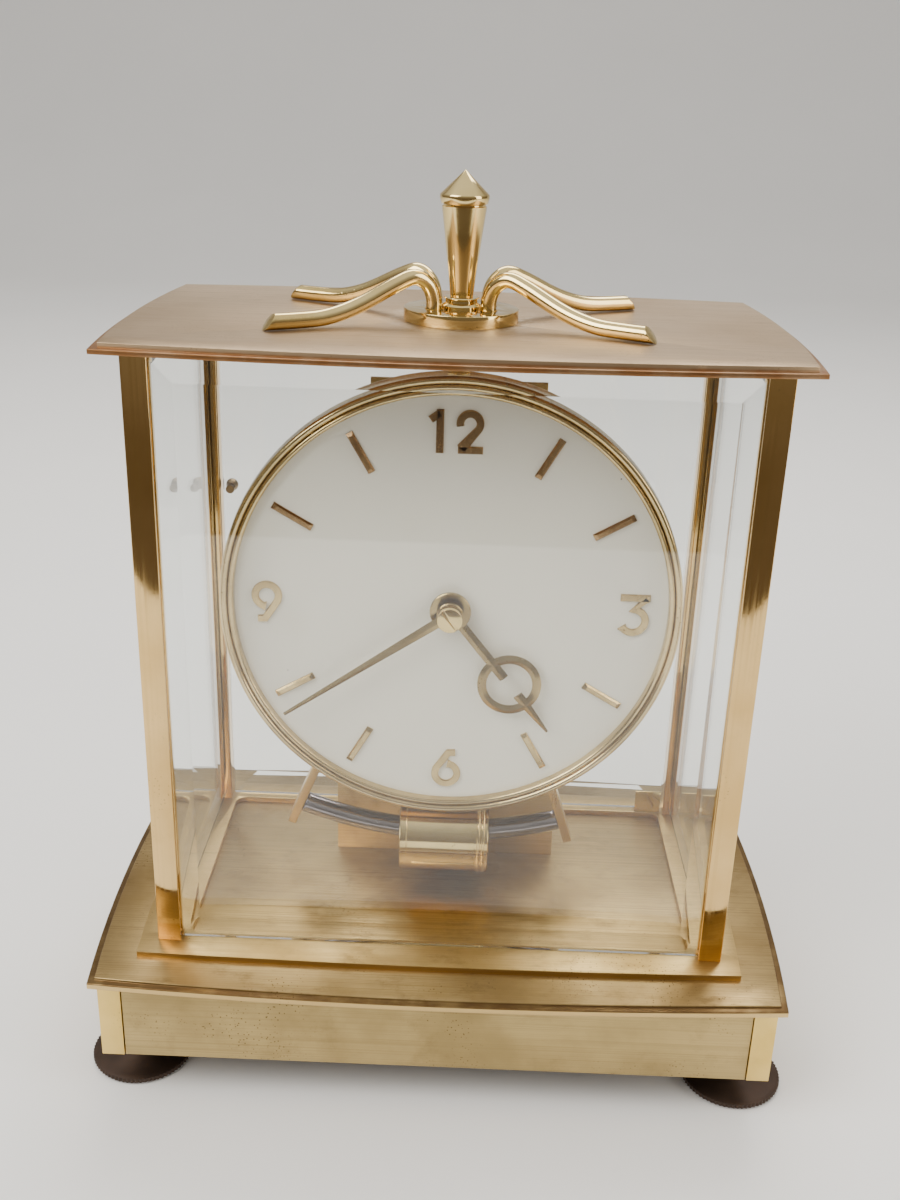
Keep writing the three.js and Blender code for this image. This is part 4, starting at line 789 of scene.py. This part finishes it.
def gather(parts):
    """One mesh of several shapes."""
    whole = bmesh.new()
    for part in parts:
        mesh = bpy.data.meshes.new("part")
        part.to_mesh(mesh)
        part.free()
        whole.from_mesh(mesh)
        bpy.data.meshes.remove(mesh)
    return whole


def straight_stroke(start, end):
    """A stroke with square ends between two points of the dial."""
    start, end = Vector(start), Vector(end)
    ahead = (end - start).normalized()
    side = Vector((-ahead.y, ahead.x)) * STROKE / 2
    corners = []
    for share, inset, rise in ((1, 0, 0), (1, 0, RAISED / 2), (FLAT, 0.3, RAISED)):
        for point in (start + ahead * inset, end - ahead * inset):
            corners += [(*(point + side * share * turn), front + rise) for turn in (-1, 1)]
    return hull(corners, on_dial())


def make_numeral(name, metal_of, path=(), bars=()):
    """A numeral: a bent stroke with sloping sides, and straight strokes beside it."""
    shapes = [straight_stroke(*ends) for ends in bars]
    if path:
        shapes.append(bent_stroke(path))
    piece_of(gather(shapes), "numeral_" + name, "case", metal_of, smooth=20)


def bent_stroke(path):
    half = STROKE / 2 * MM
    tall = RAISED * MM
    section = [(-half, 0, 0), (half, 0, 0), (half, tall * 0.5, 0), (half * FLAT, tall, 0),
               (-half * FLAT, tall, 0), (-half, tall * 0.5, 0)]
    points = [Vector((x, y, front)) * MM for x, y in path]
    frames = []
    for index, point in enumerate(points):
        before = (point - points[max(index - 1, 0)]).normalized()
        after = (points[min(index + 1, len(points) - 1)] - point).normalized()
        ahead = (before + after).normalized()
        widen = 1 / max(0.72, ahead.dot(after or before))
        up = Vector((0, 0, 1))
        turn = Matrix((up.cross(ahead) * widen, up, ahead)).transposed().to_4x4()
        frames.append(on_dial() @ Matrix.Translation(point) @ turn)
    return swept(section, frames)


SIX = [(2.7, -46.1), (0.7, -46.2), (-2.9, -51.6), *arc(0.1, -53.2, 3.3, 155, 445, 24)]
SIX_MIDDLE = -51.3
NINE_CENTRE = -51.9
make_numeral("one", shaded_gilt, bars=[((-4.3, 45), (-4.3, 57)), ((-6.9, 54.1), (-4.1, 56.2))])
make_numeral("two", shaded_gilt, [*arc(3.75, 53.3, 2.7, 195, -32, 18), (1.5, 46.4)],
             [((0.6, 46.05), (7.4, 46.05))])
make_numeral("three", gilt, [(55.2, 4.9), (51.5, 1.5), *arc(51.5, -1.9, 3.5, 80, -150, 20)],
             [((47.6, 5.1), (56.0, 5.1))])
make_numeral("six", gilt, SIX)
make_numeral("nine", gilt, [(NINE_CENTRE - x, SIX_MIDDLE - y) for x, y in SIX])
BATON_ENDS = (45, 57.5)
BATON_TOP_ENDS = (46.1, 56.4)
BATON_HALF = 1.0
BATON_TOP_HALF = 0.55
for hour in (1, 2, 4, 5, 7, 8, 10, 11):
    corners = [(side * BATON_HALF, up, front) for side in (-1, 1) for up in BATON_ENDS]
    corners += [(side * BATON_HALF, up, front + 0.5) for side in (-1, 1) for up in BATON_ENDS]
    corners += [(side * BATON_TOP_HALF, up, front + 1.0) for side in (-1, 1) for up in BATON_TOP_ENDS]
    bm = hull(corners, on_dial(radians(30 * hour)))
    # the batons at the top of the dial take the gilt with painted shade
    tone = gilt if 3 < hour < 9 else shaded_gilt
    piece_of(bm, f"baton_{hour}", "case", tone, smooth=15)


# ---- Hands --------------------------------------------------------------------------------------
# Both hands are stamped from gilt brass with a ridge along the middle and dark facets.
# The hour hand carries a ring; a slotted nut holds the minute hand on its arbor.

MINUTE_ANGLE = radians(235.2)
HOUR_ANGLE = radians(141.4)
hand_gilt = gilt_metal("hand_gilt", (0.44, 0.33, 0.15), (0.27, 0.19, 0.08))
HAND_EDGE = 0.3  # thickness of a hand's blade at its edges
RING_OUT = 28.1  # from the arbor to the middle of the hour hand's ring


def ridged(half, start, end, tip, base, crest, place):
    """A bar with a ridge along its middle; tip is its half width at the far end."""
    low = [(-half, start), (half, start), (-tip, end), (tip, end)]
    points = [(x, y, base) for x, y in low] + [(x, y, base + HAND_EDGE) for x, y in low]
    points += [(0, start, crest), (0, end, min(crest, base + HAND_EDGE + tip * 0.6))]
    return hull(points, place)


def make_hour_hand():
    base = -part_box("hour_hand")[1].y / MM
    crest = -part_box("hour_hand")[0].y / MM
    place = on_dial(HOUR_ANGLE)
    inner, middle, outer = 6.6, 7.9, 9.2
    ring = [(inner, base), (outer, base), (outer, base + HAND_EDGE), (middle, crest)]
    ring.append((inner, base + HAND_EDGE))
    centre = place @ Vector((0, RING_OUT * MM, 0))
    boss = [(2.75, base), (5.8, base), (5.8, crest - 0.15), (5.6, crest), (2.95, crest), (2.75, crest - 0.2)]
    shapes = [
        ridged(1.4, 4.6, 25.5, 1.4, base, crest, place),
        turned(ring, centre, FORWARD, 72),
        ridged(1.4, 32.2, 35.4, 1.4, base, crest, place),
        ridged(1.4, 35.4, 46.8, 0.35, base, crest, place),
        turned(boss, HERE, FORWARD, 72),
    ]
    piece_of(gather(shapes), "hour_hand_ridged", "hour_work", hand_gilt, ["hour_hand"], 15)


def make_minute_hand():
    base = -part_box("minute_hand")[1].y / MM
    crest = -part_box("minute_hand")[0].y / MM
    place = on_dial(MINUTE_ANGLE)
    boss = [(1.6, base), (3.8, base), (3.8, crest - 0.2), (3.6, crest), (1.6, crest)]
    shapes = [
        ridged(1.45, 3.2, 57.2, 0.45, base, crest, place),
        turned(boss, HERE, FORWARD, 64),
    ]
    piece_of(gather(shapes), "minute_hand_ridged", "minute_work", hand_gilt, ["minute_hand"], 15)


make_hour_hand()
make_minute_hand()
dressed("hand_nut", polished, 0.12, 3)


# ---- Movement --------------------------------------------------------------------------------------
# Two plain brass plates on posts carry the motion work behind the dial and the count wheel.
# The setting knob on the back turns the minute arbor.

WORKS = ["movement_front_plate", "movement_back_plate", "minute_arbor", "minute_wheel", "hour_wheel"]
for node in WORKS + ["count_wheel"]:
    dressed(node, works_brass, 0.07)


def make_setting_knob():
    low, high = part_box("setting_knob")
    radius = (high.x - low.x) / 2 / MM
    length = (high.y - low.y) / MM
    profile = [(0, 0), (radius - 1.2, 0), (radius - 0.3, 0.4), (radius, 1.0), (radius, length - 0.6),
               (radius - 0.5, length), (0, length)]
    steps = 120
    knurl = 0.96  # how far in the grooves are, as a share of the radius
    centre = Vector((0, high.y, DIAL_CENTRE))
    bm = turned(profile, centre, FORWARD, steps)
    for vert in bm.verts:
        out = (vert.co - centre).xz
        step = round(out.angle_signed(Vector((1, 0)), 0) / (2 * pi / steps))
        if out.length > (radius - 0.05) * MM and step % 2:
            bmesh.ops.scale(bm, vec=(knurl, 1, knurl), verts=[vert], space=Matrix.Translation(-centre))
    piece_of(bm, "setting_knob_knurled", "minute_work", works_brass, ["setting_knob"], 50)


make_setting_knob()


# ---- Pendulum ----------------------------------------------------------------------------------------
# Two flat brass arms in a V hang from a hub. Their lower ends hold a curved bar magnet of
# dark plated steel that swings through the coil. A leaf spring in a cock carries the hub.

arm_brass = simple_brass(
    "arm_brass", (0.78, 0.58, 0.28), (0.62, 0.44, 0.19), 0.26, (1500, 1500, 30), 0.5, 0.1,
)
for node in ("pendulum_arm_left", "pendulum_arm_right", "pendulum_hub"):
    dressed(node, arm_brass, 0.2)


def dark_plating():
    finish = Finish("dark_plated_steel")
    tone = finish.noise(60, 4)
    dust = finish.between(finish.noise(500, 4), 0.6, 0.8)
    finish.feed("Base Color", finish.mix(tone, (0.22, 0.19, 0.20), (0.31, 0.27, 0.27)))
    finish.feed("Roughness", 0.10 + tone * 0.08 + dust * 0.2)
    finish.bump(dust, 0.01 * MM, 0.3)
    return finish.material


plating = dark_plating()


def make_magnet():
    """A round bar bent to the arc of the swing, its ends turned with a small chamfer."""
    low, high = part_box("magnet_bar")
    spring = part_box("suspension_spring")[0]
    pivot = Vector((0, (low.y + high.y) / 2, spring.z + 0.1 * MM))
    radius = (high.y - low.y) / 2
    sweep = 121.8 * MM  # from the pivot to the bar's middle line
    half = radians(19.25)
    tilt = radians(2.2)  # the pendulum rests a little to one side
    steps = 48
    stations = []
    for k in range(steps + 1):
        angle = tilt - half + 2 * half * k / steps
        turn = Matrix.Rotation(angle, 4, "Y") @ Matrix.Rotation(radians(90), 4, "Y")
        centre = pivot + Matrix.Rotation(angle, 3, "Y") @ Vector((0, 0, -sweep))
        stations.append(Matrix.Translation(centre) @ turn)
    bm = swept(round_section(radius, 40), stations)
    soften(bm, 0.4 * MM, 2, 50)
    piece_of(bm, "magnet_bar_plated", "pendulum", plating, ["magnet_bar"])


make_magnet()
dressed("drive_pawl", plating, 0.08)
dressed("suspension_spring", plating, 0.03)
dressed("suspension_cock", works_brass, 0.25)


# ---- Coil ------------------------------------------------------------------------------------------------
# The coil is wound on a black moulded bobbin and slipped into a rolled brass cover.
# The cover has a fine line near its left end, two beads near its right end and a seam along its front.

def make_coil_cover():
    low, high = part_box("coil_cover")
    radius = (high.z - low.z) / 2 / MM
    end = (high.x - low.x) / 2 / MM
    centre = Vector((0, (low.y + high.y) / 2, (low.z + high.z) / 2))
    wall = 0.7
    eye = 5.6  # radius of the opening for the magnet
    bead = 0.35
    line_in = 2.2  # from the left end to the fine line
    body = radius - bead
    outside = [(eye, -end), (body - 0.3, -end), (body, 0.3 - end)]
    outside += [(body + 0.15 * sin(k * pi / 6), line_in - end - 0.2 * cos(k * pi / 6)) for k in range(7)]
    for middle in (end - 3.0, end - 1.6):
        outside += [(body + bead * sin(a), middle - 0.5 * cos(a)) for a in [k * pi / 8 for k in range(9)]]
    outside += [(body, end - 0.3), (body - 0.3, end), (eye, end)]
    inside = [(eye, end - wall), (body - wall, end - wall), (body - wall, wall - end), (eye, wall - end)]
    bm = turned(outside + inside, centre, (1, 0, 0), 128)
    piece_of(bm, "coil_cover_rolled", "case", polished, ["coil_cover"])
    seam_angle = radians(-24)
    seam = hull(
        [(x, (body + lift) * cos(seam_angle + turn), (body + lift) * sin(seam_angle + turn))
         for x in (4 - end, end - 4) for turn in (-0.05, 0.05) for lift in (-0.2, 0.22)],
        Matrix.Translation(centre) @ Matrix.Diagonal((1, -1, 1, 1)),
    )
    soften(seam, 0.08 * MM)
    piece_of(seam, "coil_cover_seam", "case", polished)


def moulded(name, dark, light, rough):
    finish = Finish(name, metallic=0.0)
    tone = finish.noise(300, 4)
    finish.feed("Base Color", finish.mix(tone, dark, light))
    finish.feed("Roughness", rough + tone * 0.15)
    finish.bump(tone, 0.03 * MM, 0.4)
    return finish.material


def wound_copper():
    finish = Finish("enamelled_copper", metallic=0.9)
    turns = finish.noise(1, 2, (5200, 60, 60))
    finish.feed("Base Color", finish.mix(turns, (0.28, 0.08, 0.03), (0.62, 0.25, 0.10)))
    finish.feed("Roughness", 0.25 + turns * 0.2)
    finish.bump(turns, 0.1 * MM, 0.8)
    return finish.material


make_coil_cover()
black = moulded("black_moulding", (0.012, 0.012, 0.013), (0.03, 0.03, 0.032), 0.4)
dressed("coil_bobbin", black, 0.15)
dressed("coil_winding", wound_copper(), 0.3)


# ---- Battery box and bracket ----------------------------------------------------------------------------
# A folded brass box behind the coil holds one round cell between two spring strips.
# A bent bracket stands on it and carries the movement; the drive's small board is on the bracket.

box_brass = simple_brass("box_brass", (0.62, 0.45, 0.19), (0.46, 0.32, 0.12), 0.36, BRUSHED, 0.5, 0.3)
dressed("battery_box", box_brass, 0.2)
dressed("support_bracket", box_brass, 0.2)
for node in ("battery_contact_left", "battery_contact_right"):
    dressed(node, polished, 0.15)


def cell_print():
    finish = Finish("printed_can", metallic=0.3)
    along = finish.axis("X")
    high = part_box("battery")[1]
    band = finish.between(along, high.x - 15.0 * MM, high.x - 14.8 * MM)
    bare = finish.between(along, high.x - 3.0 * MM, high.x - 2.9 * MM)
    scuff = finish.between(finish.noise(120, 6), 0.55, 0.75)
    colour = finish.mix(band, (0.03, 0.03, 0.035), (0.45, 0.05, 0.03))
    colour = finish.mix(bare, colour, (0.55, 0.55, 0.56))
    finish.feed("Base Color", finish.mix(scuff * 0.4, colour, (0.35, 0.34, 0.33)))
    finish.feed("Roughness", 0.28 + scuff * 0.3)
    finish.bump(scuff, 0.02 * MM, 0.3)
    return finish.material


dressed("battery", cell_print(), 0.5, 3)


def make_board():
    low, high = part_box("circuit_board")
    sheet_back = low.y + 1.0 * MM  # the lugs hold the sheet this far off the bracket
    thickness = 1.6 * MM
    brown = moulded("phenolic_board", (0.20, 0.11, 0.045), (0.30, 0.17, 0.07), 0.45)
    bm = bmesh.new()
    bmesh.ops.create_cube(bm, size=1)
    size = Vector((high.x - low.x, thickness, high.z - low.z))
    bmesh.ops.scale(bm, vec=size, verts=bm.verts)
    middle = Vector((0, sheet_back + size.y / 2, (low.z + high.z) / 2))
    bmesh.ops.translate(bm, vec=middle, verts=bm.verts)
    soften(bm, 0.15 * MM)
    piece_of(bm, "board_sheet", "case", brown, ["circuit_board"])
    face = sheet_back + size.y
    steel = simple_brass("plain_steel", (0.55, 0.54, 0.52), (0.42, 0.41, 0.40), 0.3)
    for side in (-1, 1):
        at = Vector((side * 12 * MM, low.y, high.z - 14 * MM))
        lug = turned([(0, 0), (1.9, 0), (1.9, 1.05), (0, 1.05)], at, (0, 1, 0), 32)
        piece_of(lug, "board_lug_left" if side < 0 else "board_lug_right", "case", steel)
    can = [(0, 0), (4.0, 0), (4.0, 0.5), (3.5, 0.8), (3.5, 5.0), (3.2, 5.5), (0, 5.5)]
    bm = turned(can, Vector((-7 * MM, face, high.z - 9 * MM)), (0, 1, 0), 48)
    piece_of(bm, "board_transistor", "case", steel)
    bodies = moulded("resistor_brown", (0.16, 0.07, 0.03), (0.24, 0.12, 0.05), 0.35)
    for index, drop in enumerate((16, 21)):
        body = [(0, 0), (0.35, 0), (0.35, 1.4), (0.9, 1.5), (1.15, 2.1), (1.0, 2.8), (1.0, 7.2), (1.15, 7.9),
                (0.9, 8.5), (0.35, 8.6), (0.35, 10), (0, 10)]
        at = Vector((1 * MM, face + 1.3 * MM, high.z - drop * MM))
        bm = turned(body, at, (1, 0, 0), 32)
        piece_of(bm, f"board_resistor_{index + 1}", "case", bodies)


make_board()
